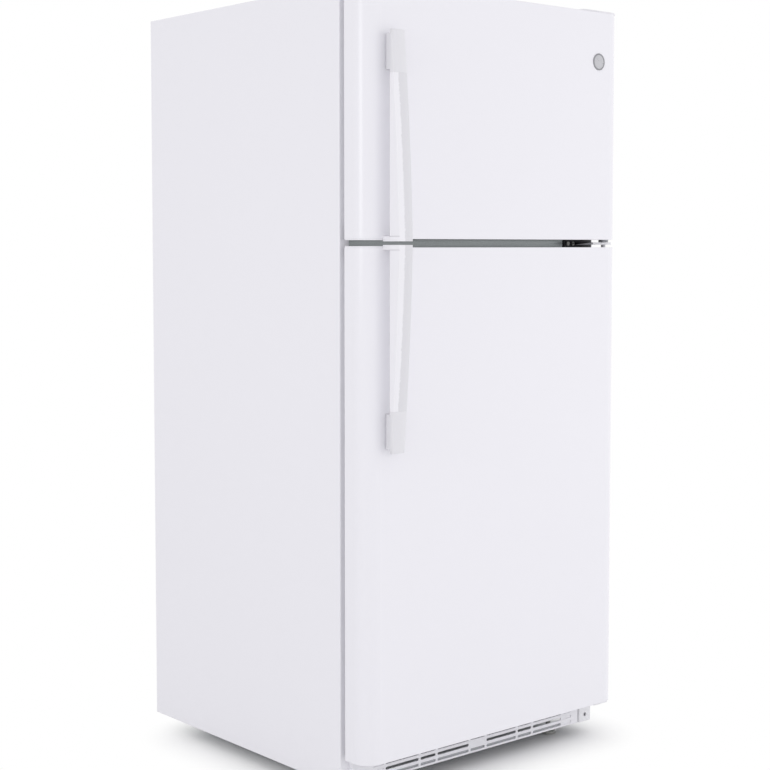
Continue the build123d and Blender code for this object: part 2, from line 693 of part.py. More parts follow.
def build_handle(name, gap_end, way):
    """A bowed bar that deepens towards the door gap, with a capped foot there and a mount at its far end."""

    def rise(start, end):
        return tuple(sorted((gap_end + way * start, gap_end + way * end)))

    bar_x = (HANDLE_LEFT, HANDLE_LEFT + HANDLE_WIDTH)
    behind_bar = (DOOR_FRONT - FINGER_GAP, DOOR_FRONT)
    mount_rise = rise(HANDLE_LENGTH - HANDLE_MOUNT_LENGTH, HANDLE_LENGTH - HANDLE_MOUNT_SETBACK)

    with BuildPart() as handle:
        sections = []
        for index in range(HANDLE_SECTIONS):
            share = index / (HANDLE_SECTIONS - 1)
            height = gap_end + way * share * HANDLE_LENGTH
            sections.append(handle_section(share).moved(Location((0, 0, height))))
        loft(sections)
        block(grown(bar_x, -HANDLE_FOOT_INSET), behind_bar, rise(0, HANDLE_FOOT_LENGTH))
    save(handle, f"{name}_handle")

    with BuildPart() as mount:
        block(grown(bar_x, -HANDLE_MOUNT_INSET), behind_bar, mount_rise)
        chamfer(mount.edges().filter_by(Axis.Z), HANDLE_MOUNT_EDGE)
    save(mount, f"{name}_handle_mount")


build_handle("freezer", FREEZER_DOOR[0] - HANDLE_OVERHANG, 1)
build_handle("fridge", FRIDGE_DOOR[1] + HANDLE_OVERHANG, -1)

# Badge: a plain round disc on the freezer door
BADGE_X = 300.0
BADGE_HEIGHT = 1543.0
BADGE_RADIUS = 18.5
BADGE_THICKNESS = 1.5
with BuildPart() as badge_disc:
    rod(
        (BADGE_X, DOOR_FRONT, BADGE_HEIGHT),
        (BADGE_X, DOOR_FRONT - BADGE_THICKNESS, BADGE_HEIGHT),
        BADGE_RADIUS,
    )
    chamfer(badge_disc.edges().group_by(Axis.Y)[0], BADGE_THICKNESS / 2)
save(badge_disc, "badge_disc")

# Door bins: open trays that hang between the dikes; the top fridge bin is the dairy keeper
BIN_WALL = 2.5
BIN_BACK = CASE_FRONT + 80.0
FREEZER_BINS = ((1232.0, 90.0), (1400.0, 90.0))
FRIDGE_BINS = ((470.0, 120.0), (710.0, 95.0))
DAIRY_FLOOR = 940.0
DAIRY_WALL_TOP = 1010.0
DAIRY_TOP = 1040.0
DAIRY_BACK = BIN_BACK - 9.0
DAIRY_END_BACK = BIN_BACK + 3.0
LID_PIVOT = (BIN_BACK - 4.5, 1034.0)
LID_PIN_RADIUS = 3.0
LID_SIDE_GAP = 1.0
LID_HALF = DIKE_INNER - BIN_WALL - LID_SIDE_GAP


def bin_tray(floor, top, back):
    """Adds an open tray between the dikes to the part in hand."""
    block(both(DIKE_INNER), (DOOR_LINER_BACK, back), (floor, top))
    block(
        both(DIKE_INNER - BIN_WALL),
        (DOOR_LINER_BACK + BIN_WALL, back - BIN_WALL),
        (floor + BIN_WALL, top + OVERCUT),
        Mode.SUBTRACT,
    )


with BuildPart() as freezer_door_bins:
    for floor, height in FREEZER_BINS:
        bin_tray(floor, floor + height, BIN_BACK)
save(freezer_door_bins, "freezer_door_bins")

with BuildPart() as fridge_door_bins:
    for floor, height in FRIDGE_BINS:
        bin_tray(floor, floor + height, BIN_BACK)
    bin_tray(DAIRY_FLOOR, DAIRY_WALL_TOP, DAIRY_BACK)
    for side in (-1, 1):
        block(
            side_span(side, DIKE_INNER - BIN_WALL, DIKE_INNER),
            (DOOR_LINER_BACK, DAIRY_END_BACK),
            (DAIRY_FLOOR, DAIRY_TOP),
        )
    rod(
        (-DIKE_INNER - OVERCUT, LID_PIVOT[0], LID_PIVOT[1]),
        (DIKE_INNER + OVERCUT, LID_PIVOT[0], LID_PIVOT[1]),
        LID_PIN_RADIUS + SHAFT_CLEARANCE,
        Mode.SUBTRACT,
    )
save(fridge_door_bins, "fridge_door_bins")

# Dairy lid: a flap that hangs from pins in the keeper's end walls and swings up
LID_LOW = 946.0
with BuildPart() as dairy_lid:
    block(both(LID_HALF), grown((LID_PIVOT[0], LID_PIVOT[0]), LID_PIN_RADIUS / 2), (LID_LOW, LID_PIVOT[1]))
    rod((-DIKE_INNER, LID_PIVOT[0], LID_PIVOT[1]), (DIKE_INNER, LID_PIVOT[0], LID_PIVOT[1]), LID_PIN_RADIUS)
save(dairy_lid, "dairy_lid")

# Freezer wire shelf: cross rods that rest on the liner's ledges, with wires along the depth
CROSS_ROD_RADIUS = 3.0
WIRE_SHELF_HALF = CAVITY_HALF - 2.0
WIRE_SHELF_BACK = EVAPORATOR_COVER_BACK - 18.0
WIRE_COUNT = 23
CROSS_ROD_SHARES = (0.02, 0.5, 0.98)
with BuildPart() as wire_shelf:
    rod_height = WIRE_SHELF_LEVEL + CROSS_ROD_RADIUS
    wire_height = rod_height + WIRE_RADIUS
    for share in CROSS_ROD_SHARES:
        depth = SHELF_FRONT + share * (WIRE_SHELF_BACK - SHELF_FRONT)
        rod((-WIRE_SHELF_HALF, depth, rod_height), (WIRE_SHELF_HALF, depth, rod_height), CROSS_ROD_RADIUS)
    for index in range(WIRE_COUNT):
        x = (2 * index / (WIRE_COUNT - 1) - 1) * (WIRE_SHELF_HALF - 2 * LEDGE)
        rod((x, SHELF_FRONT, wire_height), (x, WIRE_SHELF_BACK, wire_height), WIRE_RADIUS)
save(wire_shelf, "wire_shelf")

# Fridge shelves: moulded frames on the liner's ledges with a pane of glass in a rebate; the lowest one
# covers the crispers and has a slot in its front rail for each humidity slider
SHELF_HALF = CAVITY_HALF - 1.0
SHELF_BACK = FRIDGE_BACK - 10.0
COVER_BACK = STEP_BACK - 3.0
REBATE = 7.0
GLASS_BED = 8.0
SLIDER_X = 160.0
SLIDER_TRAVEL = 20.0
TONGUE_HALF = 6.0
TONGUE_HEIGHT = (CRISPER_COVER_LEVEL + 5.0, CRISPER_COVER_LEVEL + 9.0)
TONGUE_DEPTH = 5.0
TONGUE_PLAY = 1.0
SHELVES = [(level, SHELF_FRONT, SHELF_BACK) for level in SHELF_LEVELS]
SHELVES.append((CRISPER_COVER_LEVEL, CRISPER_FRONT, COVER_BACK))


def pane(level, front, back):
    """The box of one shelf's glass: its X, Y and Z ranges."""
    return (
        both(SHELF_HALF - SHELF_RIM + REBATE),
        grown((front, back), REBATE - SHELF_RIM),
        (level + GLASS_BED, level + GLASS_BED + GLASS),
    )


with BuildPart() as shelf_frames:
    for level, front, back in SHELVES:
        block(both(SHELF_HALF), (front, back), (level, level + SHELF_THICKNESS))
        block(
            both(SHELF_HALF - SHELF_RIM),
            grown((front, back), -SHELF_RIM),
            (level - OVERCUT, level + SHELF_THICKNESS + OVERCUT),
            Mode.SUBTRACT,
        )
        glass_x, glass_y, glass_z = pane(level, front, back)
        block(glass_x, glass_y, (glass_z[0], level + SHELF_THICKNESS + OVERCUT), Mode.SUBTRACT)
    for side in (-1, 1):
        block(
            grown((side * SLIDER_X, side * SLIDER_X), TONGUE_HALF + SLIDER_TRAVEL + TONGUE_PLAY),
            (CRISPER_FRONT - OVERCUT, CRISPER_FRONT + TONGUE_DEPTH + TONGUE_PLAY),
            grown(TONGUE_HEIGHT, FACE_CLEARANCE),
            Mode.SUBTRACT,
        )
save(shelf_frames, "shelf_frames")

with BuildPart() as shelf_glass:
    for level, front, back in SHELVES:
        block(*pane(level, front, back))
save(shelf_glass, "shelf_glass")

# Crispers: open drawers side by side under their cover, and the humidity sliders in the cover's rail
CRISPER_MIDDLE = 3.0
CRISPER_OUTER = CAVITY_HALF - 5.5
CRISPER_CORNER = 16.0
CRISPER_BASE = FRIDGE_FLOOR + FACE_CLEARANCE
CRISPER_TOP = CRISPER_BASE + CRISPER_HEIGHT
CRISPER_HOLLOW_TOP = CRISPER_TOP + 60.0
PULL_LIP = 8.0
PULL_HEIGHT = 14.0
SLIDER_HALF = 13.0
SLIDER_THICKNESS = 4.0
SLIDER_MARGIN = 2.0
SLIDER_HEIGHT = grown((CRISPER_COVER_LEVEL, CRISPER_COVER_LEVEL + SHELF_THICKNESS), -SLIDER_MARGIN)
for side, hand in ((-1, "left"), (1, "right")):
    with BuildPart() as crisper:
        outer = side_span(side, CRISPER_MIDDLE, CRISPER_OUTER)
        block(outer, (CRISPER_FRONT, CRISPER_BACK), (CRISPER_BASE, CRISPER_TOP))
        fillet(crisper.edges().filter_by(Axis.Y).group_by(Axis.Z)[0], CRISPER_CORNER)
        rounded_block(
            grown(outer, -CRISPER_WALL),
            grown((CRISPER_FRONT, CRISPER_BACK), -CRISPER_WALL),
            (CRISPER_BASE + CRISPER_WALL, CRISPER_HOLLOW_TOP),
            CRISPER_CORNER - CRISPER_WALL,
            Mode.SUBTRACT,
        )
        block(
            grown(outer, -2 * CRISPER_CORNER),
            (CRISPER_FRONT - PULL_LIP, CRISPER_FRONT),
            (CRISPER_TOP - PULL_HEIGHT, CRISPER_TOP),
        )
    save(crisper, f"{hand}_crisper")
    with BuildPart() as slider:
        middle = (side * SLIDER_X, side * SLIDER_X)
        face = CRISPER_FRONT - FACE_CLEARANCE
        block(grown(middle, SLIDER_HALF), (face - SLIDER_THICKNESS, face), SLIDER_HEIGHT)
        block(grown(middle, TONGUE_HALF), (face, CRISPER_FRONT + TONGUE_DEPTH), TONGUE_HEIGHT)
    save(slider, f"{hand}_humidity_slider")

# Control housing under the fridge ceiling, its lens, and the two temperature dials on its face
HOUSING_WALL = 3.0
HOUSING_EDGE = 10.0
LENS_HALF = 62.0
LENS_DEPTH = (15.0, 115.0)
LENS_DROP = 8.0
LENS_EDGE = 5.0
DIAL_DEPTH = 13.0
DIAL_SHAFT_RADIUS = 3.0
POINTER_HALF = 2.0
POINTER_RISE = 2.0
POINTER_INSET = 4.0
DIAL_EDGE = 2.0
with BuildPart() as control_housing:
    block(both(CONTROL_HALF), (CONTROL_FRONT, CONTROL_BACK), (CONTROL_BOTTOM, FRIDGE_CEILING))
    fillet(control_housing.faces().sort_by(Axis.Z)[0].edges(), HOUSING_EDGE)
    block(
        both(CONTROL_HALF - HOUSING_EDGE),
        grown((CONTROL_FRONT, CONTROL_BACK), -HOUSING_EDGE / 2),
        (CONTROL_BOTTOM + HOUSING_WALL, FRIDGE_CEILING + OVERCUT),
        Mode.SUBTRACT,
    )
    block(both(LENS_HALF), LENS_DEPTH, (CONTROL_BOTTOM - OVERCUT, CONTROL_BOTTOM + OVERCUT), Mode.SUBTRACT)
    for side in (-1, 1):
        rod(
            (side * DIAL_X, CONTROL_FRONT - OVERCUT, DIAL_HEIGHT),
            (side * DIAL_X, CONTROL_FRONT + 2 * OVERCUT, DIAL_HEIGHT),
            DIAL_SHAFT_RADIUS + SHAFT_CLEARANCE,
            Mode.SUBTRACT,
        )
save(control_housing, "control_housing")

with BuildPart() as light_cover:
    block(both(LENS_HALF), LENS_DEPTH, (CONTROL_BOTTOM - LENS_DROP, CONTROL_BOTTOM + HOUSING_WALL))
    fillet(light_cover.faces().sort_by(Axis.Z)[0].edges(), LENS_EDGE)
save(light_cover, "light_cover")

for side, name in ((-1, "fridge"), (1, "freezer")):
    with BuildPart() as dial:
        back = CONTROL_FRONT - FACE_CLEARANCE
        face = back - DIAL_DEPTH
        x = side * DIAL_X
        rod((x, back, DIAL_HEIGHT), (x, face, DIAL_HEIGHT), DIAL_RADIUS)
        chamfer(dial.edges().group_by(Axis.Y)[0], DIAL_EDGE)
        block(
            grown((x, x), POINTER_HALF),
            (face - POINTER_RISE, face),
            (DIAL_HEIGHT, DIAL_HEIGHT + DIAL_RADIUS - POINTER_INSET),
        )
        rod((x, back, DIAL_HEIGHT), (x, CONTROL_FRONT + OVERCUT, DIAL_HEIGHT), DIAL_SHAFT_RADIUS)
    save(dial, f"{name}_dial")


COIL_TUBES = (2, 6)
TUBE_RADIUS = 4.0
TUBE_END = 8.0
FIN = 1.0
END_PLATE = 2.0


def finned_coil(x, y, z, fins, leg=0.0):
    """Adds a block of straight tubes through thin fins, with end plates that may reach down as legs."""
    columns, rows = COIL_TUBES
    block((x[0], x[0] + END_PLATE), y, (z[0] - leg, z[1]))
    block((x[1] - END_PLATE, x[1]), y, (z[0] - leg, z[1]))
    for index in range(1, fins + 1):
        place = x[0] + index * (x[1] - x[0]) / (fins + 1)
        block(grown((place, place), FIN / 2), y, z)
    for column in range(columns):
        for row in range(rows):
            depth = y[0] + (column + 0.5) * (y[1] - y[0]) / columns
            height = z[0] + (row + 0.5) * (z[1] - z[0]) / rows
            rod((x[0] - TUBE_END, depth, height), (x[1] + TUBE_END, depth, height), TUBE_RADIUS)


FAN_SHAFT_RADIUS = 2.5
FAN_HUB_RADIUS = 14.0
FAN_HUB_LENGTH = 16.0
FAN_BLADES = 5
BLADE_THICKNESS = 1.8
BLADE_WIDTH = 38.0
BLADE_TILT = 28.0
BLADE_ROOT = 2.0
MOTOR_GAP = 3.0
SHAFT_INSET = 2.0


def build_fan(node, x, front, z, radius):
    """A fan on an axis along Y: hub with tilted blades, bored for the motor shaft."""
    with BuildPart() as fan:
        rod((x, front, z), (x, front + FAN_HUB_LENGTH, z), FAN_HUB_RADIUS)
        blade_length = radius - FAN_HUB_RADIUS + BLADE_ROOT
        reach = radius - blade_length / 2
        hub_plane = Plane(origin=(x, front + FAN_HUB_LENGTH / 2, z), x_dir=(1, 0, 0), z_dir=(0, -1, 0))
        with Locations(hub_plane):
            with PolarLocations(reach, FAN_BLADES):
                Box(blade_length, BLADE_WIDTH, BLADE_THICKNESS, rotation=(BLADE_TILT, 0, 0))
        rod(
            (x, front - 2 * OVERCUT, z),
            (x, front + FAN_HUB_LENGTH + 2 * OVERCUT, z),
            FAN_SHAFT_RADIUS + SHAFT_CLEARANCE,
            Mode.SUBTRACT,
        )
    save(fan, node)


# Evaporator behind the freezer's rear panel: coil, fan motor on its bar, fan and slotted panel
PANEL = 4.0
COIL_HALF = 250.0
EVAPORATOR_FINS = 18
EVAPORATOR_DEPTH = (288.0, 334.0)
EVAPORATOR_HEIGHT = (1188.0, 1400.0)
EVAPORATOR_FAN_HEIGHT = 1500.0
EVAPORATOR_FAN_FRONT = 292.0
EVAPORATOR_FAN_RADIUS = 60.0
MOTOR_RADIUS = 20.0
MOTOR_BAR_HALF = 90.0
MOTOR_BAR_RISE = 9.0
MOTOR_BAR = 4.0
with BuildPart() as evaporator_coil:
    finned_coil(both(COIL_HALF), EVAPORATOR_DEPTH, EVAPORATOR_HEIGHT, EVAPORATOR_FINS)
save(evaporator_coil, "evaporator_coil")

build_fan("evaporator_fan", 0.0, EVAPORATOR_FAN_FRONT, EVAPORATOR_FAN_HEIGHT, EVAPORATOR_FAN_RADIUS)

with BuildPart() as evaporator_fan_motor:
    motor_front = EVAPORATOR_FAN_FRONT + FAN_HUB_LENGTH + MOTOR_GAP
    rod(
        (0, motor_front, EVAPORATOR_FAN_HEIGHT),
        (0, FREEZER_BACK - MOTOR_BAR, EVAPORATOR_FAN_HEIGHT),
        MOTOR_RADIUS,
    )
    rod(
        (0, EVAPORATOR_FAN_FRONT + SHAFT_INSET, EVAPORATOR_FAN_HEIGHT),
        (0, motor_front, EVAPORATOR_FAN_HEIGHT),
        FAN_SHAFT_RADIUS,
    )
    block(
        both(MOTOR_BAR_HALF),
        (FREEZER_BACK - MOTOR_BAR, FREEZER_BACK),
        grown((EVAPORATOR_FAN_HEIGHT, EVAPORATOR_FAN_HEIGHT), MOTOR_BAR_RISE),
    )
save(evaporator_fan_motor, "evaporator_fan_motor")

VENT = (70.0, 8.0)
VENT_PITCH = (84.0, 18.0)
OUTLET_VENTS = (3, 6)
RETURN_VENTS = (6, 3)
RETURN_HEIGHT = 1216.0
PANEL_GAP = 0.5
with BuildPart() as evaporator_cover:
    rounded_block(
        both(CAVITY_HALF - PANEL_GAP),
        (EVAPORATOR_COVER_BACK - PANEL, EVAPORATOR_COVER_BACK),
        grown((FREEZER_FLOOR, FREEZER_CEILING), -PANEL_GAP),
        CAVITY_RADIUS,
    )
    with BuildSketch(across(EVAPORATOR_COVER_BACK)):
        with Locations((0, EVAPORATOR_FAN_HEIGHT)):
            with GridLocations(*VENT_PITCH, *OUTLET_VENTS):
                SlotOverall(*VENT)
        with Locations((0, RETURN_HEIGHT)):
            with GridLocations(*VENT_PITCH, *RETURN_VENTS):
                SlotOverall(*VENT)
    extrude(amount=2 * PANEL, both=True, mode=Mode.SUBTRACT)
save(evaporator_cover, "evaporator_cover")

# Machine compartment: compressor on its feet, drain pan, condenser coil on its legs, fan and motor
COMPRESSOR_X = -190.0
COMPRESSOR_Y = 300.0
COMPRESSOR_RADIUS = 78.0
COMPRESSOR_BASE = MACHINE_FLOOR + 18.0
COMPRESSOR_TOP = 246.0
COMPRESSOR_CROWN = 40.0
COMPRESSOR_PLATE = (120.0, 70.0, 4.0)
GROMMET_RADIUS = 12.0
GROMMET_SPREAD = (96.0, 48.0)
with BuildPart() as compressor:
    rod(
        (COMPRESSOR_X, COMPRESSOR_Y, COMPRESSOR_BASE),
        (COMPRESSOR_X, COMPRESSOR_Y, COMPRESSOR_TOP),
        COMPRESSOR_RADIUS,
    )
    fillet(compressor.edges().filter_by(GeomType.CIRCLE).group_by(Axis.Z)[-1], COMPRESSOR_CROWN)
    block(
        grown((COMPRESSOR_X, COMPRESSOR_X), COMPRESSOR_PLATE[0]),
        grown((COMPRESSOR_Y, COMPRESSOR_Y), COMPRESSOR_PLATE[1]),
        (COMPRESSOR_BASE - COMPRESSOR_PLATE[2], COMPRESSOR_BASE),
    )
    for dx in both(GROMMET_SPREAD[0]):
        for dy in both(GROMMET_SPREAD[1]):
            rod(
                (COMPRESSOR_X + dx, COMPRESSOR_Y + dy, MACHINE_FLOOR),
                (COMPRESSOR_X + dx, COMPRESSOR_Y + dy, COMPRESSOR_BASE),
                GROMMET_RADIUS,
            )
save(compressor, "compressor")

CONDENSER_X = (60.0, 290.0)
CONDENSER_DEPTH = (202.0, 250.0)
CONDENSER_HEIGHT = (92.0, 300.0)
CONDENSER_FINS = 14
CONDENSER_FAN_FRONT = 268.0
CONDENSER_FAN_RADIUS = 84.0
PAN_X = (70.0, 280.0)
PAN_DEPTH = (200.0, 390.0)
PAN_HEIGHT = 24.0
PAN_WALL = 2.0
with BuildPart() as condenser_coil:
    finned_coil(
        CONDENSER_X,
        CONDENSER_DEPTH,
        CONDENSER_HEIGHT,
        CONDENSER_FINS,
        CONDENSER_HEIGHT[0] - MACHINE_FLOOR,
    )
save(condenser_coil, "condenser_coil")

with BuildPart() as drain_pan:
    block(PAN_X, PAN_DEPTH, (MACHINE_FLOOR, MACHINE_FLOOR + PAN_HEIGHT))
    block(
        grown(PAN_X, -PAN_WALL),
        grown(PAN_DEPTH, -PAN_WALL),
        (MACHINE_FLOOR + PAN_WALL, MACHINE_FLOOR + PAN_HEIGHT + OVERCUT),
        Mode.SUBTRACT,
    )
save(drain_pan, "drain_pan")

condenser_fan_x = sum(CONDENSER_X) / 2
condenser_fan_z = sum(CONDENSER_HEIGHT) / 2
build_fan("condenser_fan", condenser_fan_x, CONDENSER_FAN_FRONT, condenser_fan_z, CONDENSER_FAN_RADIUS)

MOTOR_STAND = (40.0, 310.0)
MOTOR_LENGTH = 40.0
STAND_LEG = 5.0
with BuildPart() as condenser_fan_motor:
    motor_front = CONDENSER_FAN_FRONT + FAN_HUB_LENGTH + MOTOR_GAP
    motor_back = motor_front + MOTOR_LENGTH
    bar = (motor_back, motor_back + MOTOR_BAR)
    rod(
        (condenser_fan_x, motor_front, condenser_fan_z),
        (condenser_fan_x, motor_back, condenser_fan_z),
        MOTOR_RADIUS,
    )
    rod(
        (condenser_fan_x, CONDENSER_FAN_FRONT + SHAFT_INSET, condenser_fan_z),
        (condenser_fan_x, motor_front, condenser_fan_z),
        FAN_SHAFT_RADIUS,
    )
    block(MOTOR_STAND, bar, grown((condenser_fan_z, condenser_fan_z), MOTOR_BAR_RISE))
    for foot in (MOTOR_STAND[0], MOTOR_STAND[1] - STAND_LEG):
        block((foot, foot + STAND_LEG), bar, (MACHINE_FLOOR, condenser_fan_z))
save(condenser_fan_motor, "condenser_fan_motor")

# Machine cover: sheet over the compartment's back with rows of air slots and a hole for the cord inlet
COVER_SIDE_GAP = 1.0
COVER_TOP_GAP = 0.5
COVER_HALF = HALF - SHEET - COVER_SIDE_GAP
COVER_HEIGHT = (36.0, MACHINE_TOP - BASE_SHEET - COVER_TOP_GAP)
AIR_SLOT = (200.0, 9.0)
AIR_SLOT_PITCH = (250.0, 26.0)
AIR_SLOTS = (2, 8)
AIR_SLOT_MIDDLE = (0.0, 200.0)
INLET_SPOT = (-280.0, 72.0)
INLET_NECK = 9.0
INLET_FLANGE = 14.0
INLET_BORE = 4.0
INLET_LENGTH = 3.5
with BuildPart() as machine_cover:
    block(both(COVER_HALF), (FRAME_BACK, FRAME_BACK + SHEET), COVER_HEIGHT)
    with BuildSketch(across(FRAME_BACK)):
        with Locations(AIR_SLOT_MIDDLE):
            with GridLocations(*AIR_SLOT_PITCH, *AIR_SLOTS):
                SlotOverall(*AIR_SLOT)
        with Locations(INLET_SPOT):
            Circle(INLET_NECK + FACE_CLEARANCE)
    extrude(amount=OVERCUT, both=True, mode=Mode.SUBTRACT)
save(machine_cover, "machine_cover")

with BuildPart() as cord_inlet:
    gland_back = FRAME_BACK + SHEET + INLET_LENGTH
    x, z = INLET_SPOT
    rod((x, FRAME_BACK - INLET_LENGTH, z), (x, gland_back, z), INLET_NECK)
    rod((x, FRAME_BACK + SHEET, z), (x, gland_back, z), INLET_FLANGE)
    rod((x, FRAME_BACK - 2 * OVERCUT, z), (x, gland_back + OVERCUT, z), INLET_BORE, Mode.SUBTRACT)
save(cord_inlet, "cord_inlet")
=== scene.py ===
import math

import bmesh
import bpy
from mathutils import Matrix, Vector


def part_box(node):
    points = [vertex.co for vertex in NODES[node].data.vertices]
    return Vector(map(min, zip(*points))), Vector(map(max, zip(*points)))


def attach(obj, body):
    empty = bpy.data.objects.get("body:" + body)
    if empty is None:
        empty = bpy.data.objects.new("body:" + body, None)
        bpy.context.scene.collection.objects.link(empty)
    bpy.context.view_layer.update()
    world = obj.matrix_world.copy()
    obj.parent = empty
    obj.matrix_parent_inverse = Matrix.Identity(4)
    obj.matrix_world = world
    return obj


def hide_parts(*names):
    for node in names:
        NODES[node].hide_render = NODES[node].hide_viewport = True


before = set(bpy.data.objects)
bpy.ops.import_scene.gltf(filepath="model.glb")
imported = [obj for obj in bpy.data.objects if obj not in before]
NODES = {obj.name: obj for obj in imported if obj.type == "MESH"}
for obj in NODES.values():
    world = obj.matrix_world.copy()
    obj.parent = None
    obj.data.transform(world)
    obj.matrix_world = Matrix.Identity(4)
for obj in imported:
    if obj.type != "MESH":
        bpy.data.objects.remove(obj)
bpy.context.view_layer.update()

# A white top freezer refrigerator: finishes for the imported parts, small fittings and a pale stage.
# Metres, in the part's own frame: +X is right as seen from the front, +Y is back and +Z is up.

MM = 0.001
SCENE = bpy.context.scene
DOORS = ("freezer", "fridge")
TO_FRONT = (0, -1, 0)
TO_BACK = (0, 1, 0)
UP = (0, 0, 1)


def box(node):
    """Lowest and highest corner of a CAD node."""
    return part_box(node)


# Material building

EVEN = (1.0, 1.0, 1.0)
NOISE_LOW = 0.25
NOISE_HIGH = 0.75
CLOUD_DETAIL = 4.0
GRAIN_DETAIL = 2.0
EDGE_SAMPLES = 4


def new_material(name):
    """An empty node material with one Principled shader."""
    material = bpy.data.materials.new(name)
    material.use_nodes = True
    tree = material.node_tree
    tree.nodes.clear()
    output = tree.nodes.new("ShaderNodeOutputMaterial")
    shader = tree.nodes.new("ShaderNodeBsdfPrincipled")
    tree.links.new(shader.outputs["BSDF"], output.inputs["Surface"])
    return material, shader


def own_coordinates(tree, stretch=EVEN):
    """The piece's own coordinates in metres, stretched along its axes."""
    place = tree.nodes.new("ShaderNodeTexCoord")
    mapping = tree.nodes.new("ShaderNodeMapping")
    mapping.inputs["Scale"].default_value = stretch
    tree.links.new(place.outputs["Object"], mapping.inputs["Vector"])
    return mapping.outputs["Vector"]


def noise(tree, scale, detail, stretch):
    """Soft noise over the piece, with this many features to the metre."""
    texture = tree.nodes.new("ShaderNodeTexNoise")
    texture.inputs["Scale"].default_value = scale
    texture.inputs["Detail"].default_value = detail
    tree.links.new(own_coordinates(tree, stretch), texture.inputs["Vector"])
    return texture.outputs["Fac"]


def cells(tree, scale):
    """Random grey for each crystal of a spangled metal."""
    texture = tree.nodes.new("ShaderNodeTexVoronoi")
    texture.inputs["Scale"].default_value = scale
    tree.links.new(own_coordinates(tree), texture.inputs["Vector"])
    separate = tree.nodes.new("ShaderNodeSeparateColor")
    tree.links.new(texture.outputs["Color"], separate.inputs["Color"])
    return separate.outputs["Red"]


def spread(tree, factor, low, high, socket):
    """Feeds a number socket with a value that wanders between two limits."""
    remap = tree.nodes.new("ShaderNodeMapRange")
    remap.inputs["From Min"].default_value = NOISE_LOW
    remap.inputs["From Max"].default_value = NOISE_HIGH
    remap.inputs["To Min"].default_value = low
    remap.inputs["To Max"].default_value = high
    tree.links.new(factor, remap.inputs["Value"])
    tree.links.new(remap.outputs["Result"], socket)


def shades(tree, factor, dark, light, socket):
    """Feeds a colour socket with a colour between two."""
    ramp = tree.nodes.new("ShaderNodeValToRGB")
    ramp.color_ramp.elements[0].position = NOISE_LOW
    ramp.color_ramp.elements[0].color = (*dark, 1.0)
    ramp.color_ramp.elements[1].position = NOISE_HIGH
    ramp.color_ramp.elements[1].color = (*light, 1.0)
    tree.links.new(factor, ramp.inputs["Fac"])
    tree.links.new(ramp.outputs["Color"], socket)


def raise_surface(tree, shader, height, strength, depth, edge):
    """Bumps the surface by a height pattern, and rounds its sharp edges by a small radius."""
    bump = tree.nodes.new("ShaderNodeBump")
    bump.inputs["Strength"].default_value = strength
    bump.inputs["Distance"].default_value = depth
    tree.links.new(height, bump.inputs["Height"])
    if edge:
        rounding = tree.nodes.new("ShaderNodeBevel")
        rounding.samples = EDGE_SAMPLES
        rounding.inputs["Radius"].default_value = edge
        tree.links.new(rounding.outputs["Normal"], bump.inputs["Normal"])
    tree.links.new(bump.outputs["Normal"], shader.inputs["Normal"])


def finish(name, colour, roughness, variation, patch, grain, strength, depth=0.2 * MM, stretch=EVEN,
           edge=0.7 * MM, spangled=False, **constants):
    """A surface whose colour and roughness wander in patches, with a fine grain in its relief.

    patch and grain count features to the metre, and constants go to the shader's sockets of that name.
    """
    material, shader = new_material(name)
    tree = material.node_tree
    patches = cells(tree, patch) if spangled else noise(tree, patch, CLOUD_DETAIL, stretch)
    dark = [part * (1.0 - variation) for part in colour]
    light = [min(1.0, part * (1.0 + variation)) for part in colour]
    shades(tree, patches, dark, light, shader.inputs["Base Color"])
    spread(tree, patches, *roughness, shader.inputs["Roughness"])
    raise_surface(tree, shader, noise(tree, grain, GRAIN_DETAIL, stretch), strength, depth, edge)
    for socket, value in constants.items():
        shader.inputs[socket.replace("_", " ")].default_value = value
    return material


# Finishes, by the record's slot names

BRUSHED_ALONG_X = (0.02, 1.0, 1.0)

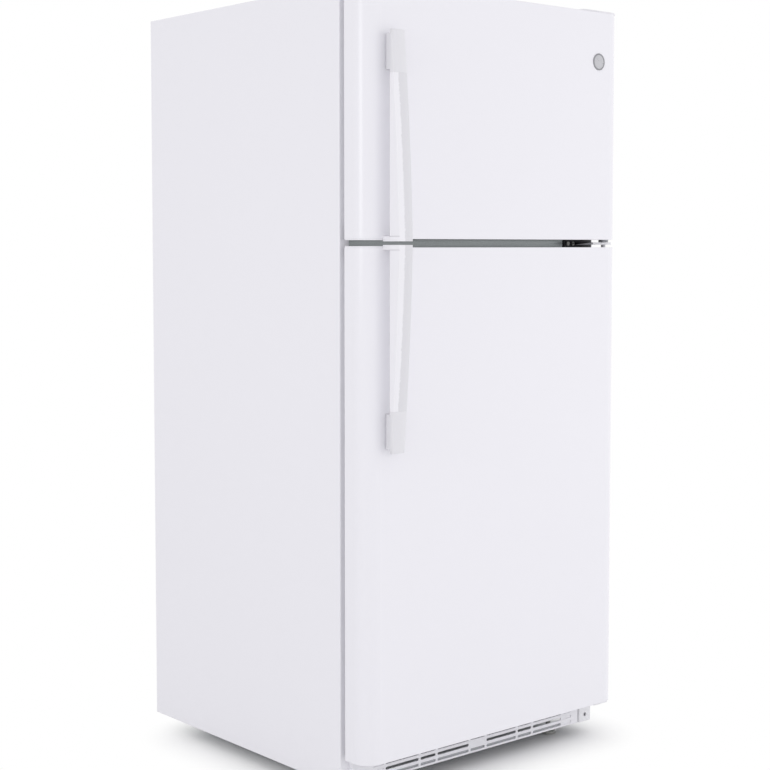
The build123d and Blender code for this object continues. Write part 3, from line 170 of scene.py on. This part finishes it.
FINISHES = {
    "white_enamel": finish(
        "enamel", (0.865, 0.86, 0.895), roughness=(0.17, 0.21),
        variation=0.005, patch=0.9, grain=380.0, strength=0.03,
    ),
    "white_plastic": finish(
        "moulded_white", (0.862, 0.858, 0.888), roughness=(0.3, 0.4),
        variation=0.012, patch=8.0, grain=900.0, strength=0.08,
    ),
    "liner_plastic": finish(
        "liner_white", (0.84, 0.85, 0.865), roughness=(0.28, 0.32),
        variation=0.006, patch=1.5, grain=700.0, strength=0.05,
    ),
    "foam": finish(
        "foam", (0.82, 0.72, 0.47), roughness=(0.75, 0.95),
        variation=0.12, patch=60.0, grain=700.0, strength=0.7, depth=1.0 * MM,
    ),
    "galvanised_steel": finish(
        "galvanised", (0.58, 0.6, 0.62), roughness=(0.34, 0.44),
        variation=0.05, patch=170.0, grain=450.0, strength=0.06, spangled=True, Metallic=0.85,
    ),
    "mullion_steel": finish(
        "mullion_grey", (0.27, 0.29, 0.295), roughness=(0.18, 0.26),
        variation=0.05, patch=300.0, grain=900.0, strength=0.03, stretch=BRUSHED_ALONG_X, Metallic=1.0,
    ),
    "white_steel": finish(
        "painted_bracket", (0.83, 0.83, 0.85), roughness=(0.3, 0.42),
        variation=0.02, patch=30.0, grain=800.0, strength=0.08,
    ),
    "dark_steel": finish(
        "dark_bracket", (0.05, 0.05, 0.055), roughness=(0.35, 0.55),
        variation=0.25, patch=40.0, grain=800.0, strength=0.1,
    ),
    "screw_steel": finish(
        "zinc_screw", (0.46, 0.46, 0.44), roughness=(0.25, 0.42),
        variation=0.12, patch=160.0, grain=900.0, strength=0.08, Metallic=1.0,
    ),
    "gasket_vinyl": finish(
        "vinyl_seal", (0.8, 0.8, 0.815), roughness=(0.5, 0.62),
        variation=0.03, patch=30.0, grain=900.0, strength=0.12,
    ),
    "black_enamel": finish(
        "black_enamel", (0.018, 0.018, 0.02), roughness=(0.22, 0.38),
        variation=0.3, patch=12.0, grain=300.0, strength=0.08, Coat_Weight=0.4,
    ),
    "coil_aluminium": finish(
        "aluminium", (0.74, 0.75, 0.77), roughness=(0.28, 0.45),
        variation=0.08, patch=60.0, grain=900.0, strength=0.06, Metallic=1.0,
    ),
    "black_plastic": finish(
        "black_plastic", (0.03, 0.03, 0.033), roughness=(0.45, 0.6),
        variation=0.2, patch=30.0, grain=900.0, strength=0.12,
    ),
    "grey_plastic": finish(
        "grey_plastic", (0.4, 0.41, 0.43), roughness=(0.4, 0.52),
        variation=0.05, patch=30.0, grain=900.0, strength=0.1,
    ),
    "shelf_wire": finish(
        "coated_wire", (0.84, 0.84, 0.865), roughness=(0.2, 0.32),
        variation=0.015, patch=40.0, grain=500.0, strength=0.06, Coat_Weight=0.3,
    ),
    "glass": finish(
        "shelf_pane", (0.95, 0.985, 0.97), roughness=(0.01, 0.05),
        variation=0.01, patch=12.0, grain=300.0, strength=0.01, edge=0.0,
        Transmission_Weight=1.0, IOR=1.45,
    ),
    "clear_plastic": finish(
        "clear_moulding", (0.93, 0.945, 0.955), roughness=(0.08, 0.16),
        variation=0.01, patch=10.0, grain=700.0, strength=0.04, edge=0.0,
        Transmission_Weight=0.62, IOR=1.4,
    ),
    "lens_plastic": finish(
        "lens_diffuser", (0.92, 0.93, 0.94), roughness=(0.3, 0.45),
        variation=0.015, patch=25.0, grain=700.0, strength=0.2,
        Transmission_Weight=0.35, IOR=1.49,
    ),
    "badge_grey": finish(
        "badge_satin", (0.56, 0.56, 0.585), roughness=(0.24, 0.36),
        variation=0.06, patch=90.0, grain=900.0, strength=0.05, Metallic=0.55,
    ),
}

# Finishes of single pieces

HANDLE_WHITE = finish(
    "handle_white", (0.88, 0.876, 0.905), roughness=(0.36, 0.44),
    variation=0.01, patch=6.0, grain=900.0, strength=0.06,
)
# Painted shade: a greyer copy of the handle's white for the handles' front faces
HANDLE_FRONT_SHADE = finish(
    "handle_front_painted_shade", (0.735, 0.732, 0.758), roughness=(0.4, 0.48),
    variation=0.01, patch=6.0, grain=900.0, strength=0.06,
)
# Painted shade: a greyer copy of the handle's white for the sleeve over each bar's far end
HANDLE_END_SHADE = finish(
    "handle_end", (0.775, 0.772, 0.797), roughness=(0.36, 0.46),
    variation=0.01, patch=6.0, grain=900.0, strength=0.06,
)
# Painted shade: a darker white for the handle mounts, for the shade behind the bars
MOUNT_SHADE = finish(
    "mount_painted_shade", (0.78, 0.777, 0.802), roughness=(0.36, 0.46),
    variation=0.015, patch=8.0, grain=900.0, strength=0.06,
)
BADGE_RIM = finish(
    "badge_rim", (0.32, 0.32, 0.34), roughness=(0.25, 0.38),
    variation=0.06, patch=90.0, grain=900.0, strength=0.05, Metallic=0.6,
)
COPPER = finish(
    "copper_tube", (0.72, 0.36, 0.21), roughness=(0.25, 0.42),
    variation=0.12, patch=60.0, grain=700.0, strength=0.06, Metallic=1.0,
)
SEAM = finish(
    "seam_shadow", (0.5, 0.5, 0.52), roughness=(0.5, 0.65),
    variation=0.04, patch=60.0, grain=900.0, strength=0.06,
)


def dress(piece, material):
    """Gives a piece one finish in place of what it has."""
    piece.data.materials.clear()
    piece.data.materials.append(material)


def second_finish(piece, material, chosen):
    """Gives another finish to the faces of a piece that a test on their centre and facing picks."""
    turn = piece.matrix_world.to_3x3()
    piece.data.materials.append(material)
    for face in piece.data.polygons:
        face.material_index = int(chosen(piece.matrix_world @ face.center, turn @ face.normal))


for node in NODES.values():
    slot_name = node.data.materials[0].name.split(".")[0]
    dress(node, FINISHES[slot_name])


# The handles' front faces carry painted shade: a greyer copy of the white of their sides, for the front
# turned from the light

FRONT_FACING = -0.6
FRONT_FROM_LEFT = 9 * MM


def dress_handle(door):
    """Side, front and mount of one door's handle, with painted shade on the front and the mount."""
    handle = NODES[f"{door}_handle"]
    edge = box(f"{door}_handle")[0].x + FRONT_FROM_LEFT
    dress(handle, HANDLE_WHITE)
    second_finish(handle, HANDLE_FRONT_SHADE, lambda place, facing: facing.y < FRONT_FACING and place.x > edge)
    # Painted shade on the mount behind the bar
    dress(NODES[f"{door}_handle_mount"], MOUNT_SHADE)


for door in DOORS:
    dress_handle(door)

# The centre hinge's upright flange behind the doors carries painted shade, the dark steel finish standing in
# for the shade there; its plate is painted white

FLANGE_FRONT = -300 * MM
second_finish(NODES["center_hinge"], FINISHES["dark_steel"], lambda place, facing: place.y > FLANGE_FRONT)


# Mesh building

SHARP_ANGLE = math.radians(35)
MERGE_WITHIN = 1e-6


def piece_from(name, mesh_data, body, slot=None, material=None, replaces=()):
    """Turns a bmesh into a piece that rides on a CAD body, in a slot's finish or another one."""
    bmesh.ops.remove_doubles(mesh_data, verts=mesh_data.verts, dist=MERGE_WITHIN)
    bmesh.ops.recalc_face_normals(mesh_data, faces=mesh_data.faces)
    mesh = bpy.data.meshes.new(name)
    mesh_data.to_mesh(mesh)
    mesh_data.free()
    mesh.shade_smooth()
    mesh.set_sharp_from_angle(angle=SHARP_ANGLE)
    piece = bpy.data.objects.new(name, mesh)
    SCENE.collection.objects.link(piece)
    dress(piece, material or FINISHES[slot])
    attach(piece, body)
    if replaces:
        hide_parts(*replaces)
    return piece


def skin_rings(mesh_data, rings, close_path=False, close_rings=True):
    """Joins a row of equal rings of points into a tube, or into a trough where the rings are open."""
    rows = [[mesh_data.verts.new(point) for point in ring] for ring in rings]
    pairs = list(zip(rows, rows[1:]))
    if close_path:
        pairs.append((rows[-1], rows[0]))
    for first, second in pairs:
        for index in range(len(first) if close_rings else len(first) - 1):
            after = (index + 1) % len(first)
            mesh_data.faces.new((first[index], first[after], second[after], second[index]))
    if not close_path:
        mesh_data.faces.new(rows[0])
        mesh_data.faces.new(rows[-1])


def prism(mesh_data, outline, levels):
    """An upright block with one outline of (x, y) between two levels."""
    skin_rings(mesh_data, [[Vector((x, y, level)) for x, y in outline] for level in levels])


def circle(centre, along, radius, count):
    """Points round a circle about an axis."""
    rotation = Vector(along).to_track_quat("Z", "Y").to_matrix()
    points = []
    for index in range(count):
        angle = 2 * math.pi * index / count
        spoke = Vector((radius * math.cos(angle), radius * math.sin(angle), 0))
        points.append(Vector(centre) + rotation @ spoke)
    return points


def lathe(mesh_data, centre, along, profile, count):
    """Turns a row of (distance along the axis, radius) round it."""
    start = Vector(centre)
    direction = Vector(along).normalized()
    rings = [circle(start + direction * step, along, radius, count) for step, radius in profile]
    skin_rings(mesh_data, rings)


# Door gaskets: a magnet pocket on folded bellows, carried round the door with rounded corners

# Millimetres outward and back
GASKET_PROFILE = (
    (-7, 0), (7, 0), (4, 2.2), (8.6, 4.2), (4.6, 6.2), (9.6, 8.2), (10, 9.6), (10, 12.8), (9.2, 13.5),
    (-9.2, 13.5), (-10, 12.8), (-10, 9.6), (-9.6, 8.2), (-4.6, 6.2), (-8.6, 4.2), (-4, 2.2),
)
GASKET_HALF = 10 * MM
GASKET_CORNER = 14 * MM
CORNER_STEPS = 8


def gasket(door):
    """The bellows seal of one door, in place of its plain ring."""
    node = f"{door}_door_gasket"
    low, high = box(node)
    inset = GASKET_HALF + GASKET_CORNER
    rings = []
    for quarter in range(4):
        x = high.x - inset if quarter in (0, 3) else low.x + inset
        z = high.z - inset if quarter in (0, 1) else low.z + inset
        centre = Vector((x, low.y, z))
        for step in range(CORNER_STEPS + 1):
            angle = (quarter + step / CORNER_STEPS) * math.pi / 2
            outward = Vector((math.cos(angle), 0, math.sin(angle)))
            middle = centre + outward * GASKET_CORNER
            rings.append([middle + outward * (u * MM) + Vector((0, v * MM, 0)) for u, v in GASKET_PROFILE])
    mesh_data = bmesh.new()
    skin_rings(mesh_data, rings, close_path=True)
    piece_from(f"{door}_gasket_bellows", mesh_data, f"{door}_door", "gasket_vinyl", replaces=(node,))


for door in DOORS:
    gasket(door)


# Badge: a plain turned disc with a raised, darker rim

# Shares of thickness and radius
BADGE_PROFILE = (
    (0, 1.0),
    (0.7, 1.0),
    (1.0, 0.965),
    (1.0, 0.885),
    (0.62, 0.85),
    (0.62, 0.81),
    (0.8, 0.78),
    (0.9, 0.4),
    (0.92, 0.02),
)
BADGE_SIDES = 72
RIM_SHARE = 0.82


def badge():
    """Rim, groove and a slightly domed field."""
    low, high = box("badge_disc")
    radius = (high.x - low.x) / 2
    thick = high.y - low.y
    x = (low.x + high.x) / 2
    z = (low.z + high.z) / 2
    profile = [(step * thick, share * radius) for step, share in BADGE_PROFILE]
    mesh_data = bmesh.new()
    lathe(mesh_data, (x, high.y, z), TO_FRONT, profile, BADGE_SIDES)
    piece = piece_from("round_badge", mesh_data, "freezer_door", "badge_grey", replaces=("badge_disc",))
    rim = RIM_SHARE * radius
    second_finish(piece, BADGE_RIM, lambda place, facing: math.hypot(place.x - x, place.z - z) > rim)


badge()


# Top hinge cover: a thin cap whose nose slopes down to the door

# Millimetres back and up
CAP_PROFILE = ((0, 4), (3, 5.6), (10, 7.6), (46, 15.2), (54, 16), (164, 16), (171, 14), (174, 9))
CAP_WALL = 1.6 * MM
CAP_EDGE = 4 * MM
CAP_EDGE_SHARE = 0.6
CAP_EDGE_CUT = 0.3


def hinge_cap():
    """The sloped cap, open below, in place of the plain cover."""
    low, high = box("top_hinge_cover")
    rings = []
    for along, height in CAP_PROFILE:
        edge = min(CAP_EDGE, CAP_EDGE_SHARE * height * MM)
        cut = CAP_EDGE_CUT * edge
        top = low.z + height * MM
        across = (
            (low.x, low.z),
            (low.x, top - edge),
            (low.x + cut, top - cut),
            (low.x + edge, top),
            (high.x - edge, top),
            (high.x - cut, top - cut),
            (high.x, top - edge),
            (high.x, low.z),
        )
        rings.append([Vector((x, low.y + along * MM, z)) for x, z in across])
    mesh_data = bmesh.new()
    skin_rings(mesh_data, rings, close_rings=False)
    piece = piece_from("top_hinge_cap", mesh_data, "cabinet", "white_plastic", replaces=("top_hinge_cover",))
    wall = piece.modifiers.new("wall", "SOLIDIFY")
    wall.thickness = CAP_WALL
    wall.offset = -1.0


hinge_cap()


# Handle seams: a fine line round each handle near its end at the door gap

HANDLE_DEPTH = 38 * MM
SEAM_FROM_END = 10 * MM
SEAM_HEIGHT = 0.8 * MM
SEAM_PROUD = 0.2 * MM
SEAM_DEPTH = 37.5 * MM
SEAM_CROWN = 8.9 * MM
CROWN_STEPS = 12


def handle_seam(door, from_top):
    """A fine band round one handle, with a crowned front."""
    low, high = box(f"{door}_handle")
    left = low.x - SEAM_PROUD
    right = high.x + SEAM_PROUD
    back = low.y + HANDLE_DEPTH + SEAM_PROUD
    front = back - SEAM_DEPTH - 2 * SEAM_PROUD
    outline = [(right, back), (left, back)]
    for step in range(CROWN_STEPS + 1):
        share = step / CROWN_STEPS
        swell = 1.0 - (2 * share - 1.0) ** 2
        outline.append((left + share * (right - left), front + SEAM_CROWN * (1.0 - swell)))
    level = high.z - SEAM_FROM_END if from_top else low.z + SEAM_FROM_END
    mesh_data = bmesh.new()
    prism(mesh_data, outline, (level - SEAM_HEIGHT / 2, level + SEAM_HEIGHT / 2))
    piece_from(f"{door}_handle_seam", mesh_data, f"{door}_door", material=SEAM)


handle_seam("freezer", from_top=False)
handle_seam("fridge", from_top=True)


# Handle ends: a thin greyer sleeve over the far end of each bar, about as long as the mount behind it; its
# grey is painted shade

END_LENGTH = 84 * MM
END_PROUD = 0.35 * MM


def handle_end(door, at_top):
    """The painted-shade sleeve over one handle's far end, cut from the bar's own shape."""
    bar = NODES[f"{door}_handle"]
    low, high = box(f"{door}_handle")
    mesh_data = bmesh.new()
    mesh_data.from_mesh(bar.data)
    mesh_data.transform(bar.matrix_world)
    bmesh.ops.remove_doubles(mesh_data, verts=mesh_data.verts, dist=MERGE_WITHIN)
    cut = high.z - END_LENGTH if at_top else low.z + END_LENGTH
    bmesh.ops.bisect_plane(
        mesh_data,
        geom=mesh_data.verts[:] + mesh_data.edges[:] + mesh_data.faces[:],
        plane_co=(0, 0, cut),
        plane_no=UP,
        clear_inner=at_top,
        clear_outer=not at_top,
    )
    bmesh.ops.holes_fill(mesh_data, edges=mesh_data.edges[:])
    mesh_data.normal_update()
    outward = [(vertex, vertex.normal.copy()) for vertex in mesh_data.verts]
    for vertex, normal in outward:
        vertex.co += normal * END_PROUD
    piece_from(f"{door}_handle_end", mesh_data, f"{door}_door", material=HANDLE_END_SHADE)


handle_end("freezer", at_top=True)
handle_end("fridge", at_top=False)


# Door lips: a low pad on each door's end under the handle's foot, which narrows the gap there

LIP_HEIGHT = 2.6 * MM
LIP_INSET = 0.6 * MM
DOOR_CORNER = 38 * MM
LIP_STEPS = 10


def door_lip(door, on_top):
    """The pad from the door's rounded corner to the handle's far side."""
    low, high = box(f"{door}_door_skin")
    left = low.x + LIP_INSET
    front = low.y + LIP_INSET
    back = high.y - LIP_INSET
    right = box(f"{door}_handle")[1].x
    radius = DOOR_CORNER - LIP_INSET
    outline = [(right, back), (left, back)]
    for step in range(LIP_STEPS + 1):
        angle = math.pi / 2 * step / LIP_STEPS
        outline.append((left + radius * (1 - math.cos(angle)), front + radius * (1 - math.sin(angle))))
    outline.append((right, front))
    levels = (high.z, high.z + LIP_HEIGHT) if on_top else (low.z, low.z - LIP_HEIGHT)
    mesh_data = bmesh.new()
    prism(mesh_data, outline, levels)
    piece_from(f"{door}_door_lip", mesh_data, f"{door}_door", "white_plastic")


door_lip("freezer", on_top=False)
door_lip("fridge", on_top=True)


# Grille blade: a grey strip close behind the lowest row of slots, which looks lighter than the row above it;
# the strip's grey is painted light, standing in for the lit floor seen through that row

BLADE_LEVELS = (4.2 * MM, 11.8 * MM)
BLADE_BEHIND = 3.4 * MM
BLADE_THICK = 1.0 * MM
BLADE_MARGIN = 4 * MM


def grille_blade():
    """The strip between the grille's two end returns."""
    low, high = box("base_grille")
    left = low.x + BLADE_MARGIN
    right = high.x - BLADE_MARGIN
    front = low.y + BLADE_BEHIND
    back = front + BLADE_THICK
    outline = ((left, front), (right, front), (right, back), (left, back))
    mesh_data = bmesh.new()
    prism(mesh_data, outline, [low.z + level for level in BLADE_LEVELS])
    # Painted light: this grey strip stands in for the lit floor seen through the lowest slots
    piece_from("grille_blade", mesh_data, "cabinet", "grey_plastic")


grille_blade()


# Fasteners on the back: hexagon washer heads round the machine cover and down the rear panel

# Shares of a screw's height and radius
SCREW_FLANGE = ((0, 1.45), (0.2, 1.45), (0.35, 1.15))
SCREW_HEAD = ((0.3, 1.0), (0.9, 1.0), (1.0, 0.85))
FLANGE_SIDES = 20
HEX_SIDES = 6
SCREW_RADIUS = 4.5 * MM
COVER_SCREW_HEIGHT = 3.2 * MM
PANEL_SCREW_HEIGHT = 1.9 * MM
SCREW_MARGIN = 12 * MM
COVER_COLUMNS = 6
PANEL_ROWS = 7
PANEL_RECESS = 2 * MM


def hex_screw(mesh_data, centre, height):
    """A hexagon head on a round flange, facing back."""
    for shares, sides in ((SCREW_FLANGE, FLANGE_SIDES), (SCREW_HEAD, HEX_SIDES)):
        profile = [(step * height, share * SCREW_RADIUS) for step, share in shares]
        lathe(mesh_data, centre, TO_BACK, profile, sides)


def back_screws():
    """Screws of the machine cover and of the rear panel's edges."""
    cover_low, cover_high = box("machine_cover")
    panel_low, panel_high = box("rear_panel")
    mesh_data = bmesh.new()
    cover_left = cover_low.x + SCREW_MARGIN
    cover_right = cover_high.x - SCREW_MARGIN
    for z in (cover_low.z + SCREW_MARGIN, cover_high.z - SCREW_MARGIN):
        for column in range(COVER_COLUMNS):
            x = cover_left + column / (COVER_COLUMNS - 1) * (cover_right - cover_left)
            hex_screw(mesh_data, (x, cover_high.y, z), COVER_SCREW_HEIGHT)
    panel_face = box("outer_case")[1].y - PANEL_RECESS
    for x in (panel_low.x + SCREW_MARGIN, panel_high.x - SCREW_MARGIN):
        for row in range(PANEL_ROWS):
            z = panel_low.z + (row + 0.5) / PANEL_ROWS * (panel_high.z - panel_low.z)
            hex_screw(mesh_data, (x, panel_face, z), PANEL_SCREW_HEIGHT)
    piece_from("back_screws", mesh_data, "cabinet", "screw_steel")


back_screws()


# Levelling legs: threaded rods with a flat pad and a hexagon for a wrench

# Height and share of the pad's radius
PAD_PROFILE = ((0, 0.9), (1 * MM, 1.0), (7 * MM, 1.0), (9 * MM, 0.9), (10 * MM, 0.6))
PAD_HEIGHT = 10 * MM
PAD_SIDES = 40
LEG_ROD = 6 * MM
HEX_RADIUS = 1.5 * LEG_ROD
HEX_HEIGHT = 7 * MM
HEX_SINK = 0.2 * MM
THREAD_PITCH = 1.75 * MM
THREAD_DEPTH = 0.75 * MM
THREAD_SIDES = 24
THREAD_STEPS = 5


def thread_ring(x, y, z, start):
    """One section of the thread, whose ridge climbs round the rod from its start."""
    ring = []
    for side in range(THREAD_SIDES):
        angle = 2 * math.pi * side / THREAD_SIDES
        phase = ((z - start) / THREAD_PITCH - side / THREAD_SIDES) % 1.0
        radius = LEG_ROD - THREAD_DEPTH * abs(2 * phase - 1)
        ring.append(Vector((x + radius * math.cos(angle), y + radius * math.sin(angle), z)))
    return ring


def leg(hand):
    """One leg, in place of its plain rod and pad."""
    node = f"{hand}_leg"
    low, high = box(node)
    x = (low.x + high.x) / 2
    y = (low.y + high.y) / 2
    pad = (high.x - low.x) / 2
    mesh_data = bmesh.new()
    lathe(mesh_data, (x, y, low.z), UP, [(height, share * pad) for height, share in PAD_PROFILE], PAD_SIDES)
    wrench = ((-HEX_SINK, HEX_RADIUS), (HEX_HEIGHT, HEX_RADIUS))
    lathe(mesh_data, (x, y, low.z + PAD_HEIGHT), UP, wrench, HEX_SIDES)
    start = low.z + PAD_HEIGHT + HEX_HEIGHT
    length = high.z - start
    count = int(length / THREAD_PITCH * THREAD_STEPS)
    heights = [start + length * step / count for step in range(count + 1)]
    skin_rings(mesh_data, [thread_ring(x, y, height, start) for height in heights])
    piece_from(f"{hand}_levelling_leg", mesh_data, node, "screw_steel", replaces=(node,))


for hand in ("left", "right"):
    leg(hand)


# Dial scales: raised ticks round each temperature dial, long at the two ends and at the middle

TICKS = 9
SCALE_SWEEP = math.radians(270)
SCALE_GAP = 3 * MM
LONG_EVERY = 4
LONG_TICK = 5 * MM
SHORT_TICK = 3 * MM
TICK_THICK = 0.5 * MM
TICK_WIDTH = 0.9 * MM
TICK_OUT = 0.15 * MM


def dial_scale(dial):
    """Ticks on the control housing round one dial."""
    low, high = box(dial)
    x = (low.x + high.x) / 2
    z = (low.z + high.z) / 2
    y = box("control_housing")[0].y - TICK_OUT
    inner = (high.x - low.x) / 2 + SCALE_GAP
    mesh_data = bmesh.new()
    for index in range(TICKS):
        angle = math.pi / 2 + SCALE_SWEEP * (index / (TICKS - 1) - 0.5)
        length = SHORT_TICK if index % LONG_EVERY else LONG_TICK
        middle = inner + length / 2
        place = Matrix.Translation((x + middle * math.cos(angle), y, z + middle * math.sin(angle)))
        turn = Matrix.Rotation(-angle, 4, "Y")
        size = Matrix.Diagonal((length, TICK_THICK, TICK_WIDTH, 1.0))
        bmesh.ops.create_cube(mesh_data, size=1.0, matrix=place @ turn @ size)
    piece_from(f"{dial}_scale", mesh_data, "cabinet", "grey_plastic")


for dial in ("fridge_dial", "freezer_dial"):
    dial_scale(dial)


# Refrigerant lines between the compressor and the condenser

LINE_ROUNDNESS = 4
LINE_ORDER = 3
DISCHARGE_RADIUS = 3 * MM
SUCTION_RADIUS = 4 * MM


def tube(name, points, radius):
    """A bent copper line that follows a few points."""
    data = bpy.data.curves.new(name, "CURVE")
    data.dimensions = "3D"
    data.bevel_depth = radius
    data.bevel_resolution = LINE_ROUNDNESS
    spline = data.splines.new("NURBS")
    spline.points.add(len(points) - 1)
    for target, point in zip(spline.points, points):
        target.co = (*point, 1.0)
    spline.order_u = LINE_ORDER
    spline.use_endpoint_u = True
    piece = bpy.data.objects.new(name, data)
    SCENE.collection.objects.link(piece)
    dress(piece, COPPER)
    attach(piece, "cabinet")


def refrigerant_lines():
    """Discharge line to the condenser and suction line up the wall, clear of the fan."""
    shell_low, shell_high = box("compressor")
    coil_low, coil_high = box("condenser_coil")
    top = shell_high.z
    middle = (shell_low.x + shell_high.x) / 2
    front = coil_low.y + 12 * MM
    lift = top + 24 * MM
    inlet = coil_high.z - 18 * MM
    discharge = (
        (middle + 30 * MM, front + 60 * MM, top - 30 * MM),
        (middle + 30 * MM, front + 60 * MM, lift),
        (middle + 90 * MM, front + 30 * MM, lift),
        (coil_low.x - 60 * MM, front, lift),
        (coil_low.x - 40 * MM, front, inlet),
        (coil_low.x, front, inlet),
    )
    suction = (
        (middle - 40 * MM, front + 70 * MM, top - 30 * MM),
        (middle - 40 * MM, front + 70 * MM, top + 10 * MM),
        (middle - 60 * MM, front + 10 * MM, top + 30 * MM),
        (middle - 60 * MM, front - 6 * MM, top + 78 * MM),
    )
    tube("discharge_line", discharge, DISCHARGE_RADIUS)
    tube("suction_line", suction, SUCTION_RADIUS)


refrigerant_lines()


# Stage: floor, sky, lamps and camera

FLOOR_HALF = 8.0
FLOOR_TONE = (0.86, 0.86, 0.865, 1.0)
WHITE = (1.0, 1.0, 1.0, 1.0)
FOOTPRINT = (0.3, 0.24, 0.0)
CLEAR_FROM = 0.0
CLEAR_TO = 0.2
SKY_LIGHT = (0.97, 0.963, 0.987, 1.0)
SKY_STRENGTH = 0.866


def number_step(tree, operation, first, second):
    """The result of a maths node on two numbers."""
    step = tree.nodes.new("ShaderNodeMath")
    step.operation = operation
    tree.links.new(first, step.inputs[0])
    tree.links.new(second, step.inputs[1])
    return step.outputs["Value"]


def vector_step(tree, operation, source, constant=(0.0, 0.0, 0.0)):
    """A vector maths node on a vector and a constant one."""
    step = tree.nodes.new("ShaderNodeVectorMath")
    step.operation = operation
    step.inputs[1].default_value = constant
    tree.links.new(source, step.inputs[0])
    return step


def seen_rays(tree):
    """1 for camera, mirror and glass rays, 0 for the light that bounces."""
    path = tree.nodes.new("ShaderNodeLightPath")
    either = number_step(tree, "MAXIMUM", path.outputs["Is Camera Ray"], path.outputs["Is Glossy Ray"])
    return number_step(tree, "MAXIMUM", either, path.outputs["Is Transmission Ray"])


def cleared(tree):
    """0 within the object's footprint, rising to 1 a little outside it."""
    place = tree.nodes.new("ShaderNodeTexCoord")
    folded = vector_step(tree, "ABSOLUTE", place.outputs["Object"])
    beyond = vector_step(tree, "SUBTRACT", folded.outputs["Vector"], FOOTPRINT)
    outside = vector_step(tree, "MAXIMUM", beyond.outputs["Vector"])
    length = vector_step(tree, "LENGTH", outside.outputs["Vector"])
    clear = tree.nodes.new("ShaderNodeMapRange")
    clear.interpolation_type = "SMOOTHSTEP"
    clear.inputs["From Min"].default_value = CLEAR_FROM
    clear.inputs["From Max"].default_value = CLEAR_TO
    tree.links.new(length.outputs["Value"], clear.inputs["Value"])
    return clear.outputs["Result"]


def floor():
    """A pale floor that keeps the shadow near the object and clears to white away from it."""
    mesh = bpy.data.meshes.new("floor")
    corners = [
        (-FLOOR_HALF, -FLOOR_HALF, 0),
        (FLOOR_HALF, -FLOOR_HALF, 0),
        (FLOOR_HALF, FLOOR_HALF, 0),
        (-FLOOR_HALF, FLOOR_HALF, 0),
    ]
    mesh.from_pydata(corners, [], [(0, 1, 2, 3)])
    piece = bpy.data.objects.new("floor", mesh)
    SCENE.collection.objects.link(piece)
    material = bpy.data.materials.new("pale_floor")
    material.use_nodes = True
    tree = material.node_tree
    tree.nodes.clear()
    output = tree.nodes.new("ShaderNodeOutputMaterial")
    plain = tree.nodes.new("ShaderNodeBsdfDiffuse")
    plain.inputs["Color"].default_value = FLOOR_TONE
    white = tree.nodes.new("ShaderNodeEmission")
    white.inputs["Color"].default_value = WHITE
    blend = tree.nodes.new("ShaderNodeMixShader")
    tree.links.new(number_step(tree, "MULTIPLY", cleared(tree), seen_rays(tree)), blend.inputs["Fac"])
    tree.links.new(plain.outputs["BSDF"], blend.inputs[1])
    tree.links.new(white.outputs["Emission"], blend.inputs[2])
    tree.links.new(blend.outputs["Shader"], output.inputs["Surface"])
    dress(piece, material)


def sky():
    """Even light from all round, seen as white."""
    world = bpy.data.worlds.new("studio")
    world.use_nodes = True
    tree = world.node_tree
    tree.nodes.clear()
    output = tree.nodes.new("ShaderNodeOutputWorld")
    light = tree.nodes.new("ShaderNodeBackground")
    light.inputs["Color"].default_value = SKY_LIGHT
    light.inputs["Strength"].default_value = SKY_STRENGTH
    white = tree.nodes.new("ShaderNodeBackground")
    white.inputs["Color"].default_value = WHITE
    blend = tree.nodes.new("ShaderNodeMixShader")
    tree.links.new(seen_rays(tree), blend.inputs["Fac"])
    tree.links.new(light.outputs["Background"], blend.inputs[1])
    tree.links.new(white.outputs["Background"], blend.inputs[2])
    tree.links.new(blend.outputs["Shader"], output.inputs["Surface"])
    SCENE.world = world


def lamp(name, place, aim, size, power, mirrored=False):
    """A square soft box, which glossy surfaces may mirror."""
    data = bpy.data.lights.new(name, "AREA")
    data.size = size
    data.energy = power
    lamp_object = bpy.data.objects.new(name, data)
    lamp_object.location = place
    lamp_object.rotation_euler = (Vector(aim) - Vector(place)).to_track_quat("-Z", "Y").to_euler()
    lamp_object.visible_glossy = mirrored
    SCENE.collection.objects.link(lamp_object)


CAMERA_PLACE = (-2.3442, -2.7218, 1.1342)
CAMERA_YAW = math.radians(40.5)
CAMERA_PITCH = math.radians(3.6)
FOCAL_PIXELS = 1568.0
FRAME_PIXELS = 770.0
AXIS_ABOVE_MIDDLE = 40.0
SENSOR = 36.0


def camera():
    """The photograph's viewpoint, with the lens shifted down as there."""
    data = bpy.data.cameras.new("camera")
    data.sensor_width = SENSOR
    data.lens = FOCAL_PIXELS / FRAME_PIXELS * SENSOR
    data.shift_y = -AXIS_ABOVE_MIDDLE / FRAME_PIXELS
    view = bpy.data.objects.new("camera", data)
    view.location = CAMERA_PLACE
    level = math.cos(CAMERA_PITCH)
    look = Vector((math.sin(CAMERA_YAW) * level, math.cos(CAMERA_YAW) * level, -math.sin(CAMERA_PITCH)))
    view.rotation_euler = look.to_track_quat("-Z", "Y").to_euler()
    SCENE.collection.objects.link(view)
    SCENE.camera = view


floor()
sky()
lamp("front", place=(-0.6, -4.2, 1.1), aim=(0.0, -0.35, 0.7), size=2.8, power=17.0)
lamp("right", place=(3.46, -2.35, 1.1), aim=(0.0, -0.35, 0.75), size=2.0, power=22.0)
lamp("side", place=(-3.4, -0.65, 1.6), aim=(-0.4, -0.1, 0.9), size=1.1, power=8.0, mirrored=True)
lamp("left", place=(-3.4, 0.1, 1.4), aim=(-0.4, 0.0, 0.8), size=1.6, power=3.0)
camera()
SCENE.view_settings.view_transform = "Standard"
